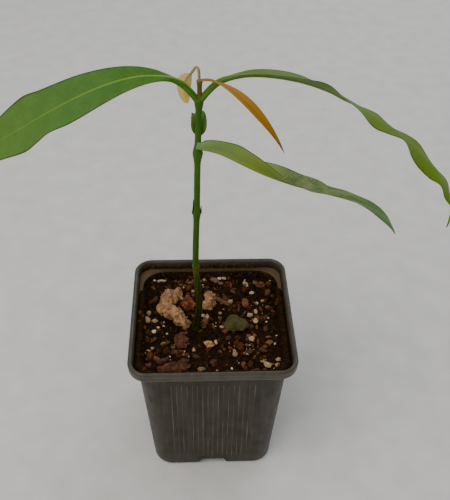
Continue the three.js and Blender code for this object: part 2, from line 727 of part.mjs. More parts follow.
function chipSolid({ at, half, turn, seed }) {
  const shape = new THREE.IcosahedronGeometry(1, 2);
  const positions = shape.getAttribute("position");
  const point = new THREE.Vector3();
  for (let i = 0; i < positions.count; i += 1) {
    point.fromBufferAttribute(positions, i);
    const lumps = 1 + 0.22 * noise(2.1 * point.x, 2.1 * point.y, 2.1 * point.z, seed);
    point.multiplyScalar(lumps);
    positions.setXYZ(i, point.x, point.y, point.z);
  }
  shape.scale(...half);
  shape.rotateZ(rad(turn));
  shape.translate(at[0], at[1], soilHeight(at[0], at[1]) + at[2]);
  return solidOf(shape);
}

// The whole plant in its pot
addPart("soil", soil, "potting_mix");
addPart("stem", stem, "green_stem");
addPart("new_shoot", shootSolid(0), "brown_shoot");
for (const [name, leaf] of Object.entries(LEAVES)) {
  addPart(name, leafSolid(leaf).subtract(roundStem).subtract(roundShoot), leaf.material);
}
for (const [name, scale] of Object.entries(BUD_SCALES)) {
  addPart(name, budScale(scale), "brown_shoot");
}
const coveredSoil = solidOf(geometryOf(soil).translate(0, 0, CLEAR));
const settle = (solid) => solid.subtract(coveredSoil).subtract(roundStem);
for (const [name, ridge] of Object.entries(RIDGES)) {
  addPart(name, settle(ridgeSolid(ridge)), "seed_husk");
}
for (const [name, chip] of Object.entries(CHIPS)) {
  addPart(name, settle(chipSolid(chip)), chip.material);
}

model.name = "potted_achachairu_tree";
export default model;
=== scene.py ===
# %% [markdown]
# # A potted achachairu seedling
# The object is a young tropical fruit tree: a thin green stem with long leathery leaves, two
# small new leaves on a brown shoot, and a square plastic nursery pot filled with a rough mix of
# peat, bark and perlite. The CAD model gives the frame. This lesson dresses each of its solids
# with a finer mesh and a finish made of nodes, all in metres and in the same frame.

import math

import bmesh
import bpy
from mathutils import Matrix, Vector, noise


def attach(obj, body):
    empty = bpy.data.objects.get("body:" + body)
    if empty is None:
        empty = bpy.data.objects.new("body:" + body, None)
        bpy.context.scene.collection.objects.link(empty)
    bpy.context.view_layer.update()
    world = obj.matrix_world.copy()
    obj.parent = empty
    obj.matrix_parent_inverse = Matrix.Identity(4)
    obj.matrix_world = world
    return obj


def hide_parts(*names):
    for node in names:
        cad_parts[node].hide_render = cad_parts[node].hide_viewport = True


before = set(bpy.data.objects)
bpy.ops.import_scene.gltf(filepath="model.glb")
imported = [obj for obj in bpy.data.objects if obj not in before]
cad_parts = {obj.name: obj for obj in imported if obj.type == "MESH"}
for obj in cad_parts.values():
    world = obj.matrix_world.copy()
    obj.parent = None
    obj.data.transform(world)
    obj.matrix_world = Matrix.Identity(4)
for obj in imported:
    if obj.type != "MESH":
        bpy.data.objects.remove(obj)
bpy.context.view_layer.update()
MM = 0.001

# %% [markdown]
# ## Camera
# The photograph looks down at the pot from the front at about forty degrees. Its place and
# angles were worked out from the straight edges of the pot, so the render shows the same view.
# A Blender camera looks along its own -Z, so its axes are written straight into a matrix.

# %% Camera at the photograph's viewpoint
CAMERA_PLACE = Vector((-6.5, -252.1, 342.8)) * MM
CAMERA_YAW = math.radians(2.85)
CAMERA_PITCH = math.radians(40.74)
CAMERA_ROLL = math.radians(1.10)
FOCAL_PIXELS = 722
IMAGE_HEIGHT = 500
SENSOR_MM = 36


def new_object(name, data):
    """Object that holds this data, linked into the scene."""
    made = bpy.data.objects.new(name, data)
    bpy.context.scene.collection.objects.link(made)
    return made


def camera_axes(yaw, pitch, roll):
    """Right, up and forward directions of a camera turned right, tipped down and rolled."""
    forward = Vector(
        (math.sin(yaw) * math.cos(pitch), math.cos(yaw) * math.cos(pitch), -math.sin(pitch))
    )
    level = Vector((math.cos(yaw), -math.sin(yaw), 0))
    above = level.cross(forward)
    right = math.cos(roll) * level + math.sin(roll) * above
    return right, right.cross(forward), forward


right, up, forward = camera_axes(CAMERA_YAW, CAMERA_PITCH, CAMERA_ROLL)
camera_data = bpy.data.cameras.new("camera")
camera_data.sensor_width = SENSOR_MM
camera_data.lens = FOCAL_PIXELS / IMAGE_HEIGHT * SENSOR_MM
camera_data.clip_start = 0.01
camera = new_object("camera", camera_data)
turn = Matrix((right, up, -forward)).transposed().to_4x4()
camera.matrix_world = Matrix.Translation(CAMERA_PLACE) @ turn
bpy.context.scene.camera = camera
print("lens:", round(camera_data.lens, 1), "mm")

# %% [markdown]
# ## Small helpers
# Colours are written as sRGB hex values, as a colour picker shows them, but shaders work in
# linear light, so one function converts them. One more adds a node with its settings and links.
# A link comes from a socket, or from a node, which then stands for its first output.

# %% Colour and node helpers
MIX_FACTOR, MIX_FIRST, MIX_SECOND, MIX_RESULT = 0, 6, 7, 2


def linear(hex_colour):
    """Linear RGBA of an sRGB colour such as #54732c."""
    shares = [int(hex_colour[i : i + 2], 16) / 255 for i in (1, 3, 5)]
    return tuple(
        s / 12.92 if s <= 0.04045 else ((s + 0.055) / 1.055) ** 2.4 for s in shares
    ) + (1.0,)


def add_node(tree, kind, settings=None, links=None):
    """Adds a node. Capitalised or numbered settings are input sockets, the others properties."""
    node = tree.nodes.new(kind)
    for name, value in (settings or {}).items():
        if isinstance(name, int) or name[0].isupper():
            node.inputs[name].default_value = value
        else:
            setattr(node, name, value)
    for name, source in (links or {}).items():
        socket = source if isinstance(source, bpy.types.NodeSocket) else source.outputs[0]
        tree.links.new(socket, node.inputs[name])
    return node


def set_ramp(node, stops):
    """Gives a Color Ramp node its stops, as (place, hex colour) pairs in rising order."""
    elements = node.color_ramp.elements
    while len(elements) < len(stops):
        elements.new(1.0)
    for element, (place, colour) in zip(elements, stops):
        element.position = place
        element.color = linear(colour)


def new_finish(name, **sockets):
    """A material and its Principled shader, with the named sockets set."""
    material = bpy.data.materials.new(name)
    material.use_nodes = True
    shader = material.node_tree.nodes["Principled BSDF"]
    for socket, value in sockets.items():
        shader.inputs[socket.replace("_", " ")].default_value = value
    return material, material.node_tree, shader


# %% [markdown]
# ## Mesh helpers
# Most pieces here are lofts: rings of points joined one to the next, with both ends closed.
# A finished piece keeps its place in its mesh and its object at the origin, rides on the one
# body of the model, and hides the CAD solid that it stands for.

# %% Loft and piece helpers


def loft_faces(rings, around):
    """Faces of a closed loft. The two last points are the hubs of its first and last ring."""
    faces = []
    for i in range(rings - 1):
        for j in range(around):
            a, b = i * around + j, i * around + (j + 1) % around
            faces.append((a, b, b + around, a + around))
    hub, last = rings * around, (rings - 1) * around
    for j in range(around):
        faces.append((hub, (j + 1) % around, j))
        faces.append((hub + 1, last + j, last + (j + 1) % around))
    return faces


def loft_mesh(name, rings):
    """Mesh through rings of equally many points, in millimetres."""
    around = len(rings[0])
    points = [p for ring in rings for p in ring]
    for ring in (rings[0], rings[-1]):
        points.append(sum((Vector(p) for p in ring), Vector()) / around)
    mesh = bpy.data.meshes.new(name)
    mesh.from_pydata([Vector(p) * MM for p in points], [], loft_faces(len(rings), around))
    return mesh


def tidy_mesh(mesh, sharp_degrees=180.0, outward=True):
    """Turns the faces outwards and shades them smooth, except over edges that are sharper."""
    work = bmesh.new()
    work.from_mesh(mesh)
    if outward:
        bmesh.ops.recalc_face_normals(work, faces=work.faces)
    limit = math.radians(sharp_degrees)
    for face in work.faces:
        face.smooth = True
    for edge in work.edges:
        edge.smooth = len(edge.link_faces) != 2 or edge.calc_face_angle(0) < limit
    work.to_mesh(mesh)
    work.free()
    mesh.update()


def add_piece(name, mesh, finishes, slot, *nodes):
    """Puts a mesh in the scene as a piece of the object that stands for these CAD nodes."""
    piece = new_object(name, mesh)
    mesh.materials.clear()
    for finish in finishes:
        mesh.materials.append(finish)
    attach(piece, "root")
    if nodes:
        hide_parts(*nodes)
    print(name, "faces:", len(mesh.polygons))


def baked_mesh(carrier, name):
    """Plain mesh of an object with its modifiers run. The object itself is removed."""
    graph = bpy.context.evaluated_depsgraph_get()
    mesh = bpy.data.meshes.new_from_object(carrier.evaluated_get(graph))
    mesh.name = name
    bpy.data.objects.remove(carrier)
    return mesh


# %% [markdown]
# ## Pot plastic
# The pot is thin polypropylene, injection moulded and coloured dark grey. Moulding leaves a
# satin skin with faint lines down the walls, and potting leaves brown dust on the inside and
# dull scuffs outside. Inside, a second colour broken up by noise is brown dust, kept dark as
# painted shade on the inner wall, and it also makes the skin rougher. The lip is painted paler
# outside, brightest on its lower edge: a painted highlight.

# %% Pot finish
POT_HEIGHT = 85.0
BAND_FROM, LEDGE_BAND_TOP = 78.0, 82.0
CORNER_FROM, CORNER_FULL = 22.0, 33.0

pot_finish, tree, shader = new_finish("moulded polypropylene", IOR=1.49)
place = add_node(tree, "ShaderNodeTexCoord").outputs["Object"]
# Flow lines run down the wall, about 2 mm apart: fine across, long in height.
lines_map = add_node(tree, "ShaderNodeMapping", {"Scale": (500, 500, 4)}, {"Vector": place})
lines = add_node(tree, "ShaderNodeTexNoise", {"Scale": 1.0, "Detail": 3.0}, {"Vector": lines_map})
# Scuffs and smears are about 8 mm across.
smears = add_node(tree, "ShaderNodeTexNoise", {"Scale": 130.0, "Detail": 5.0}, {"Vector": place})
body_ramp = add_node(tree, "ShaderNodeValToRGB", None, {"Fac": lines.outputs["Fac"]})
set_ramp(body_ramp, [(0.35, "#231d10"), (0.5, "#2b2314"), (0.68, "#382f1f")])
dust_amount = add_node(
    tree, "ShaderNodeMapRange", {"From Min": 0.45, "From Max": 0.7, "To Min": 0.0, "To Max": 0.22},
    {"Value": smears.outputs["Fac"]},
)
inside = add_node(tree, "ShaderNodeAttribute", {"attribute_name": "inside"})
dust_and_shade_share = add_node(
    tree, "ShaderNodeMath", {"operation": "ADD", "use_clamp": True},
    {0: inside.outputs["Fac"], 1: dust_amount},
)
grit = add_node(tree, "ShaderNodeTexNoise", {"Scale": 900.0, "Detail": 4.0}, {"Vector": place})
# Inside, the dust colour is kept dark. Its near-black stop is painted shade on the inner wall.
dust_and_shade_ramp = add_node(tree, "ShaderNodeValToRGB", None, {"Fac": grit.outputs["Fac"]})
set_ramp(dust_and_shade_ramp, [(0.35, "#140d06"), (0.55, "#281c0f"), (0.72, "#4c3a26")])
# Height decides two more things. Outside, the lip gets a painted highlight, brightest on its
# lower edge, and inside the dust lies thick and pale on the ledge, 5 mm down, and thickest in
# its corners.
place_parts = add_node(tree, "ShaderNodeSeparateXYZ", None, {"Vector": place})
lip_share = add_node(
    tree, "ShaderNodeMapRange", {"From Min": BAND_FROM * MM, "From Max": POT_HEIGHT * MM},
    {"Value": place_parts.outputs["Z"]},
)
lip_highlight = add_node(tree, "ShaderNodeValToRGB", None, {"Fac": lip_share})
set_ramp(
    lip_highlight,
    [(0.0, "#000000"), (0.2, "#ffffff"), (0.4, "#b0b0b0"), (0.8, "#b8b8b8"), (1.0, "#888888")],
)
body_with_lip_highlight = add_node(
    tree, "ShaderNodeMix", {"data_type": "RGBA", MIX_SECOND: linear("#605b4e")},
    {MIX_FACTOR: lip_highlight, MIX_FIRST: body_ramp},
)
ledge_share = add_node(
    tree, "ShaderNodeMapRange", {"From Min": BAND_FROM * MM, "From Max": LEDGE_BAND_TOP * MM},
    {"Value": place_parts.outputs["Z"]},
)
on_ledge = add_node(tree, "ShaderNodeValToRGB", None, {"Fac": ledge_share})
set_ramp(on_ledge, [(0.38, "#000000"), (0.46, "#e0e0e0"), (0.54, "#e0e0e0"), (0.64, "#000000")])
sideways = add_node(
    tree, "ShaderNodeMath", {"operation": "ABSOLUTE"}, {0: place_parts.outputs["X"]}
)
in_corner = add_node(
    tree, "ShaderNodeMapRange",
    {"From Min": CORNER_FROM * MM, "From Max": CORNER_FULL * MM, "To Min": 0.45},
    {"Value": sideways},
)
ledge_amount = add_node(
    tree, "ShaderNodeMath", {"operation": "MULTIPLY"}, {0: on_ledge, 1: in_corner}
)
ledge_tone = add_node(
    tree, "ShaderNodeMix", {"data_type": "RGBA", MIX_SECOND: linear("#6a573e")},
    {MIX_FACTOR: ledge_amount, MIX_FIRST: dust_and_shade_ramp},
)
dusted = add_node(
    tree, "ShaderNodeMix", {"data_type": "RGBA"},
    {
        MIX_FACTOR: dust_and_shade_share, MIX_FIRST: body_with_lip_highlight.outputs[MIX_RESULT],
        MIX_SECOND: ledge_tone.outputs[MIX_RESULT],
    },
)
tree.links.new(dusted.outputs[MIX_RESULT], shader.inputs["Base Color"])
dull = add_node(
    tree, "ShaderNodeMapRange", {"From Min": 0.0, "From Max": 1.0, "To Min": 0.42, "To Max": 0.9},
    {"Value": dust_and_shade_share},
)
tree.links.new(dull.outputs[0], shader.inputs["Roughness"])
less_shine = add_node(
    tree, "ShaderNodeMapRange", {"To Min": 0.4, "To Max": 0.05}, {"Value": dust_and_shade_share}
)
tree.links.new(less_shine.outputs[0], shader.inputs["Specular IOR Level"])
relief = add_node(
    tree, "ShaderNodeBump", {"Strength": 0.2, "Distance": 0.0001}, {"Height": lines.outputs["Fac"]}
)
tree.links.new(relief.outputs[0], shader.inputs["Normal"])
print("pot finish nodes:", len(tree.nodes))

# The ribs of the walls stand proud and are painted paler in places about 20 mm long, each rib
# in its own places: a painted highlight along the ribs.
rib_finish, tree, shader = new_finish("rib with painted highlight", Roughness=0.5, IOR=1.49)
place = add_node(tree, "ShaderNodeTexCoord").outputs["Object"]
highlight_map = add_node(tree, "ShaderNodeMapping", {"Scale": (420, 420, 45)}, {"Vector": place})
highlight_patches = add_node(tree, "ShaderNodeTexNoise", {"Scale": 1.0, "Detail": 4.0}, {"Vector": highlight_map})
highlight_ramp = add_node(tree, "ShaderNodeValToRGB", None, {"Fac": highlight_patches.outputs["Fac"]})
set_ramp(highlight_ramp, [(0.35, "#2f2819"), (0.5, "#443c2b"), (0.7, "#6a6352")])
tree.links.new(highlight_ramp.outputs[0], shader.inputs["Base Color"])

# %% [markdown]
# ## Pot
# A nursery pot is a tapered square tube with round corners, a turned lip, a ledge inside for
# stacking, and crossing air channels under its floor. The tube is one loft that goes up the
# outside, over the rim and down the inside. The channels and drain holes are cut afterwards
# with a Boolean modifier, because they cross every face of the floor.

# %% Pot dimensions and profile
POT_WIDTH = 80.0
BODY_TOP, BODY_BOTTOM = 72.8, 62.2
BODY_CORNER, FOOT_CORNER = 12.0, 10.0
RIM_CORNER, RIM_WIDTH, RIM_BEVEL = 9.0, 2.4, 1.1
LIP_HEIGHT, LEDGE_DEPTH = 5.4, 5.0
WALL, FOOT_ROUND = 1.1, 1.6
NOTCH_FOOT, NOTCH_TOP, NOTCH_HEIGHT = 16.4, 11.6, 4.8
DRAIN_HOLE, DRAIN_OUT = 7.0, 19.0
CORNER_STEPS, SIDE_STEPS, WALL_STEPS = 14, 12, 8
# Rounded edges as (width, corner, height) steps, in shares of the edge's radius.
FOOT_ARC = [(2.0, 1.0, 0.0), (1.1, 0.6, 0.12), (0.5, 0.3, 0.4)]
RIM_ARC = [(2.0, 1.0, 0.0), (1.1, 0.6, 0.3), (0.0, 0.0, 1.0)]
# The lip's outside, in mm: how far it draws in, and its height over the lip's lower edge or
# under its top. The upper steps draw their corners in too.
LIP_LOWER = [(2.0, 0.0), (1.3, 0.15), (0.8, 0.5), (0.5, 1.2)]
LIP_UPPER = [
    (0.6, 0, 2.6), (0.3, 0, 1.9), (0.1, 0, 1.2), (0.3, 0, 0.6), (0.9, 0.3, 0.15), (1.6, 0.6, 0)
]
COLLAR_FOOT = [(0.8, 0.3), (1.4, 0.0)]
LIP_FILLET, LEDGE_FILLET, LEDGE_DROP, FLOOR_ROUND = 0.3, 0.3, 0.5, 1.0
INNER_HEIGHTS = (70.0, 50.0, 30.0, NOTCH_HEIGHT + WALL + FLOOR_ROUND)


def body_at(z):
    """Outside width and corner radius of the tapering body at height z."""
    share = z / (POT_HEIGHT - LIP_HEIGHT)
    return (
        BODY_BOTTOM + (BODY_TOP - BODY_BOTTOM) * share,
        FOOT_CORNER + (BODY_CORNER - FOOT_CORNER) * share,
    )


def square_ring(width, corner, z):
    """Square ring with round corners."""
    ring = []
    reach = width / 2 - corner
    middles = [(reach, reach), (-reach, reach), (-reach, -reach), (reach, -reach)]
    for side, (cx, cy) in enumerate(middles):
        for k in range(CORNER_STEPS + 1):
            angle = (side + k / CORNER_STEPS) * math.pi / 2
            ring.append(Vector((cx + corner * math.cos(angle), cy + corner * math.sin(angle), z)))
        nx, ny = middles[(side + 1) % 4]
        ahead = (side + 1) * math.pi / 2
        for k in range(1, SIDE_STEPS):
            share = k / SIDE_STEPS
            x = cx + (nx - cx) * share + corner * math.cos(ahead)
            y = cy + (ny - cy) * share + corner * math.sin(ahead)
            ring.append(Vector((x, y, z)))
    return ring


def inner_ring(z, gap=0.0):
    """Ring of the wall's inner face at height z, drawn in by gap."""
    width, corner = body_at(z)
    return square_ring(width - 2 * (WALL + gap), corner - WALL - gap, z)


foot_width, foot_corner = body_at(0)
heel_width, heel_corner = body_at(FOOT_ROUND)
under_lip = POT_HEIGHT - LIP_HEIGHT
top_width, top_corner = body_at(under_lip)
ledge = POT_HEIGHT - LEDGE_DEPTH
collar = POT_WIDTH - 2 * RIM_WIDTH
floor_top = NOTCH_HEIGHT + WALL
inner_corner = RIM_CORNER - RIM_WIDTH

pot_rings = []
for wide, round_in, high in FOOT_ARC:
    ring_width = foot_width - wide * FOOT_ROUND
    pot_rings.append(
        square_ring(ring_width, foot_corner - round_in * FOOT_ROUND, high * FOOT_ROUND)
    )
pot_rings.append(square_ring(heel_width, heel_corner, FOOT_ROUND))
for k in range(1, WALL_STEPS + 1):
    height = FOOT_ROUND + (under_lip - FOOT_ROUND) * k / WALL_STEPS
    pot_rings.append(square_ring(*body_at(height), height))
pot_rings.append(square_ring(top_width + LIP_FILLET, top_corner, under_lip))
for inwards, over in LIP_LOWER:
    pot_rings.append(square_ring(POT_WIDTH - inwards, RIM_CORNER, under_lip + over))
for inwards, round_in, under in LIP_UPPER:
    pot_rings.append(square_ring(POT_WIDTH - inwards, RIM_CORNER - round_in, POT_HEIGHT - under))
for wide, round_in, under in RIM_ARC:
    ring_corner = inner_corner + round_in * RIM_BEVEL
    pot_rings.append(
        square_ring(collar + wide * RIM_BEVEL, ring_corner, POT_HEIGHT - under * RIM_BEVEL)
    )
for inwards, over in COLLAR_FOOT:
    pot_rings.append(square_ring(collar - inwards, inner_corner, ledge + over))
# The inside colour, dust and painted shade, sets in over two rings from the middle of the rim's
# inner rounding.
INSIDE_FROM = len(pot_rings) - 4
pot_rings += [inner_ring(ledge, -LEDGE_FILLET), inner_ring(ledge - LEDGE_DROP)]
for height in INNER_HEIGHTS:
    pot_rings.append(inner_ring(height))
pot_rings.append(inner_ring(floor_top, FLOOR_ROUND))
print("pot rings:", len(pot_rings))

# %% Cut the channels and drain holes
CUT_BELOW, CUT_ABOVE, CUT_FLARE = 1.0, 2.0, 0.2
HOLE_SIDES = 32


def cutter_bar(across):
    """Trapezoid bar under the floor, along X or along Y."""
    section = [
        (-NOTCH_FOOT / 2 - CUT_FLARE, -CUT_BELOW), (NOTCH_FOOT / 2 + CUT_FLARE, -CUT_BELOW),
        (NOTCH_FOOT / 2, 0.0), (NOTCH_TOP / 2, NOTCH_HEIGHT), (-NOTCH_TOP / 2, NOTCH_HEIGHT),
        (-NOTCH_FOOT / 2, 0.0),
    ]
    rings = []
    for end in (-POT_WIDTH, POT_WIDTH):
        rings.append([Vector((end, s, z)) if across else Vector((s, end, z)) for s, z in section])
    return loft_mesh("channel", rings)


def cutter_hole(x, y):
    """Upright cylinder for one drain hole."""
    radius = DRAIN_HOLE / 2
    angles = [2 * math.pi * k / HOLE_SIDES for k in range(HOLE_SIDES)]
    circle = [(x + radius * math.cos(a), y + radius * math.sin(a)) for a in angles]
    heights = (-CUT_BELOW, floor_top + CUT_ABOVE)
    return loft_mesh("drain", [[Vector((cx, cy, z)) for cx, cy in circle] for z in heights])


pot_mesh = loft_mesh("pot_shell", pot_rings)
inside_marks = pot_mesh.attributes.new("inside", "FLOAT", "POINT")
ring_size = len(pot_rings[0])
for index in range(len(pot_mesh.vertices)):
    depth = (index // ring_size - INSIDE_FROM) / 2
    inside_marks.data[index].value = min(1.0, max(0.0, depth))
tidy_mesh(pot_mesh)
pot_carrier = new_object("pot_carrier", pot_mesh)
cutters = []
cutter_meshes = [cutter_bar(True), cutter_bar(False)]
for quarter in range(4):
    angle = quarter * math.pi / 2
    cutter_meshes.append(cutter_hole(DRAIN_OUT * math.cos(angle), DRAIN_OUT * math.sin(angle)))
for cutter_mesh in cutter_meshes:
    tidy_mesh(cutter_mesh)
    cutter = new_object("cutter", cutter_mesh)
    cutters.append(cutter)
    cut = pot_carrier.modifiers.new("cut", "BOOLEAN")
    cut.operation = "DIFFERENCE"
    cut.solver = "EXACT"
    cut.object = cutter
pot_cut = baked_mesh(pot_carrier, "pot_wall")
for cutter in cutters:
    bpy.data.objects.remove(cutter)
tidy_mesh(pot_cut, sharp_degrees=35.0)
add_piece("pot_wall", pot_cut, [pot_finish], "pot_plastic", "pot")

# %% [markdown]
# ## Ribs on the pot's walls
# The mould leaves faint upright ribs on the middle of each wall. They repeat at a steady step,
# which is what Geometry Nodes are for: a line of points along a wall, a long thin bar on each
# point, and the same row turned round the pot for the other walls.

# %% Ribs with Geometry Nodes


def new_tree(name, inputs):
    """Geometry Nodes tree with a Geometry input and output and the named inputs."""
    tree = bpy.data.node_groups.new(name, "GeometryNodeTree")
    tree.interface.new_socket("Geometry", in_out="INPUT", socket_type="NodeSocketGeometry")
    for label, kind, value in inputs:
        socket = tree.interface.new_socket(label, in_out="INPUT", socket_type=kind)
        socket.default_value = value
    tree.interface.new_socket("Geometry", in_out="OUTPUT", socket_type="NodeSocketGeometry")
    return tree, tree.nodes.new("NodeGroupInput"), tree.nodes.new("NodeGroupOutput")


def run_tree(carrier, tree, values, name):
    """Runs a tree on an object with these values for its named inputs and returns plain mesh."""
    modifier = carrier.modifiers.new("nodes", "NODES")
    modifier.node_group = tree
    for item in tree.interface.items_tree:
        if item.in_out == "INPUT" and item.name in values:
            modifier[item.identifier] = values[item.name]
    return baked_mesh(carrier, name)


rib_tree, rib_in, rib_out = new_tree(
    "wall ribs",
    [
        ("Ribs", "NodeSocketInt", 11), ("Step", "NodeSocketFloat", 0.004),
        ("Width", "NodeSocketFloat", 0.0005), ("Length", "NodeSocketFloat", 0.06),
        ("Wall Out", "NodeSocketFloat", 0.033), ("Middle Height", "NodeSocketFloat", 0.04),
        ("Lean", "NodeSocketFloat", 0.0),
    ],
)
half_run = add_node(
    rib_tree, "ShaderNodeMath", {"operation": "MULTIPLY_ADD", 1: -0.5, 2: 0.5},
    {0: rib_in.outputs["Ribs"]},
)
first_x = add_node(
    rib_tree, "ShaderNodeMath", {"operation": "MULTIPLY"}, {0: half_run, 1: rib_in.outputs["Step"]}
)
start = add_node(
    rib_tree, "ShaderNodeCombineXYZ", None, {"X": first_x, "Z": rib_in.outputs["Middle Height"]}
)
outward = add_node(
    rib_tree, "ShaderNodeMath", {"operation": "MULTIPLY", 1: -1.0}, {0: rib_in.outputs["Wall Out"]}
)
rib_tree.links.new(outward.outputs[0], start.inputs["Y"])
step = add_node(rib_tree, "ShaderNodeCombineXYZ", None, {"X": rib_in.outputs["Step"]})
row = add_node(
    rib_tree, "GeometryNodeMeshLine", None,
    {"Count": rib_in.outputs["Ribs"], "Start Location": start, "Offset": step},
)
bar_size = add_node(
    rib_tree, "ShaderNodeCombineXYZ", None,
    {"X": rib_in.outputs["Width"], "Y": rib_in.outputs["Width"], "Z": rib_in.outputs["Length"]},
)
bar = add_node(rib_tree, "GeometryNodeMeshCube", None, {"Size": bar_size})
lean = add_node(rib_tree, "ShaderNodeCombineXYZ", None, {"X": rib_in.outputs["Lean"]})
bars = add_node(
    rib_tree, "GeometryNodeInstanceOnPoints", None,
    {"Points": row, "Instance": bar, "Rotation": lean},
)
walls = []
for quarter in range(4):
    turned = add_node(
        rib_tree, "GeometryNodeTransform", {"Rotation": (0, 0, quarter * math.pi / 2)},
        {"Geometry": bars},
    )
    walls.append(turned.outputs[0])
joined = add_node(rib_tree, "GeometryNodeJoinGeometry")
for wall in walls:
    rib_tree.links.new(wall, joined.inputs[0])
real = add_node(rib_tree, "GeometryNodeRealizeInstances", None, {"Geometry": joined})
dressed = add_node(
    rib_tree, "GeometryNodeSetMaterial", {"Material": rib_finish}, {"Geometry": real}
)
rib_tree.links.new(dressed.outputs[0], rib_out.inputs[0])

RIB_WIDTH, RIB_PROUD = 0.4, 0.1
RIB_COUNT, RIB_STEP, RIB_LENGTH, RIB_MIDDLE = 17, 2.5, 64.0, 40.0
wall_out = body_at(RIB_MIDDLE)[0] / 2 + RIB_PROUD - RIB_WIDTH / 2
rib_values = {
    "Ribs": RIB_COUNT, "Step": RIB_STEP * MM, "Width": RIB_WIDTH * MM, "Length": RIB_LENGTH * MM,
    "Wall Out": wall_out * MM, "Middle Height": RIB_MIDDLE * MM,
    "Lean": math.atan2((BODY_TOP - BODY_BOTTOM) / 2, POT_HEIGHT - LIP_HEIGHT),
}
# The tree makes all its own geometry, so the object that carries it is empty.
rib_carrier = new_object("rib_carrier", bpy.data.meshes.new("rib_carrier"))
rib_mesh = run_tree(rib_carrier, rib_tree, rib_values, "pot_ribs")
tidy_mesh(rib_mesh, sharp_degrees=20.0, outward=False)
add_piece("pot_ribs", rib_mesh, [rib_finish], "pot_plastic")

# %% [markdown]
# ## Value curves
# The plant is drawn with a few numbers given along each part. A cubic Hermite curve goes
# through them smoothly.

# %% Curve through given values


def along(keys, place):
    """Value at place of a smooth curve through (place, value) pairs."""
    if place <= keys[0][0]:
        return keys[0][1]
    if place >= keys[-1][0]:
        return keys[-1][1]
    i = max(k for k in range(len(keys) - 1) if keys[k][0] < place)
    slopes = []
    for j in (i, i + 1):
        before, after = keys[max(j - 1, 0)], keys[min(j + 1, len(keys) - 1)]
        slopes.append((after[1] - before[1]) / (after[0] - before[0]))
    span = keys[i + 1][0] - keys[i][0]
    t = (place - keys[i][0]) / span
    ends = (2 * t**3 - 3 * t**2 + 1) * keys[i][1] + (3 * t**2 - 2 * t**3) * keys[i + 1][1]
    return ends + ((t**3 - 2 * t**2 + t) * slopes[0] + (t**3 - t**2) * slopes[1]) * span


def smoothstep(value, low, high):
    """0 below low, 1 above high, and an even ease between them."""
    t = min(1.0, max(0.0, (value - low) / (high - low)))
    return t * t * (3 - 2 * t)


# %% [markdown]
# ## Stem
# The stem of a seedling is green wood: brown and fine-grained at the foot, bright green above
# the third of its height, with a swollen ring at each node where leaves once stood. It is a
# loft of round rings, with a little unevenness from noise, because nothing grown is turned on
# a lathe.

# %% Stem finish
stem_finish, tree, shader = new_finish(
    "green bark", Roughness=0.45, IOR=1.45, Specular_IOR_Level=0.2
)
place = add_node(tree, "ShaderNodeTexCoord").outputs["Object"]
height = add_node(tree, "ShaderNodeSeparateXYZ", None, {"Vector": place})
wander = add_node(tree, "ShaderNodeTexNoise", {"Scale": 160.0, "Detail": 3.0}, {"Vector": place})
# The colour bands wander by about 3 mm in height.
band = add_node(
    tree, "ShaderNodeMath", {"operation": "MULTIPLY_ADD", 1: 0.006},
    {0: wander.outputs["Fac"], 2: height.outputs["Z"]},
)
share = add_node(tree, "ShaderNodeMapRange", {"From Min": 0.079, "From Max": 0.21}, {"Value": band})
bark_ramp = add_node(tree, "ShaderNodeValToRGB", None, {"Fac": share})
set_ramp(
    bark_ramp,
    [
        (0.0, "#1c0d03"), (0.15, "#231303"), (0.22, "#252103"), (0.28, "#2a3303"),
        (0.298, "#563f0b"), (0.314, "#563f0b"), (0.335, "#2c4801"), (0.55, "#305003"),
        (0.8, "#355d04"), (0.96, "#2f5602"),
    ],
)
# Fine upright streaks, about 0.4 mm wide.
streak_map = add_node(tree, "ShaderNodeMapping", {"Scale": (2200, 2200, 90)}, {"Vector": place})
streaks = add_node(
    tree, "ShaderNodeTexNoise", {"Scale": 1.0, "Detail": 3.0}, {"Vector": streak_map}
)
streak_share = add_node(
    tree, "ShaderNodeMapRange", {"From Min": 0.4, "From Max": 0.75, "To Min": 0.0, "To Max": 0.35},
    {"Value": streaks.outputs["Fac"]},
)
streaked = add_node(
    tree, "ShaderNodeMix", {"data_type": "RGBA", MIX_SECOND: linear("#4c7010")},
    {MIX_FACTOR: streak_share, MIX_FIRST: bark_ramp},
)
tree.links.new(streaked.outputs[MIX_RESULT], shader.inputs["Base Color"])
relief = add_node(
    tree, "ShaderNodeBump", {"Strength": 0.4, "Distance": 0.0001},
    {"Height": streaks.outputs["Fac"]},
)
tree.links.new(relief.outputs[0], shader.inputs["Normal"])
print("stem finish nodes:", len(tree.nodes))

scale_finish, tree, shader = new_finish("drying bud scale", Roughness=0.6, Specular_IOR_Level=0.3)
place = add_node(tree, "ShaderNodeTexCoord").outputs["Object"]
dryness = add_node(tree, "ShaderNodeTexNoise", {"Scale": 500.0, "Detail": 3.0}, {"Vector": place})
scale_ramp = add_node(tree, "ShaderNodeValToRGB", None, {"Fac": dryness.outputs["Fac"]})
set_ramp(scale_ramp, [(0.35, "#231c05"), (0.55, "#2f2c07"), (0.75, "#41480d")])
tree.links.new(scale_ramp.outputs[0], shader.inputs["Base Color"])

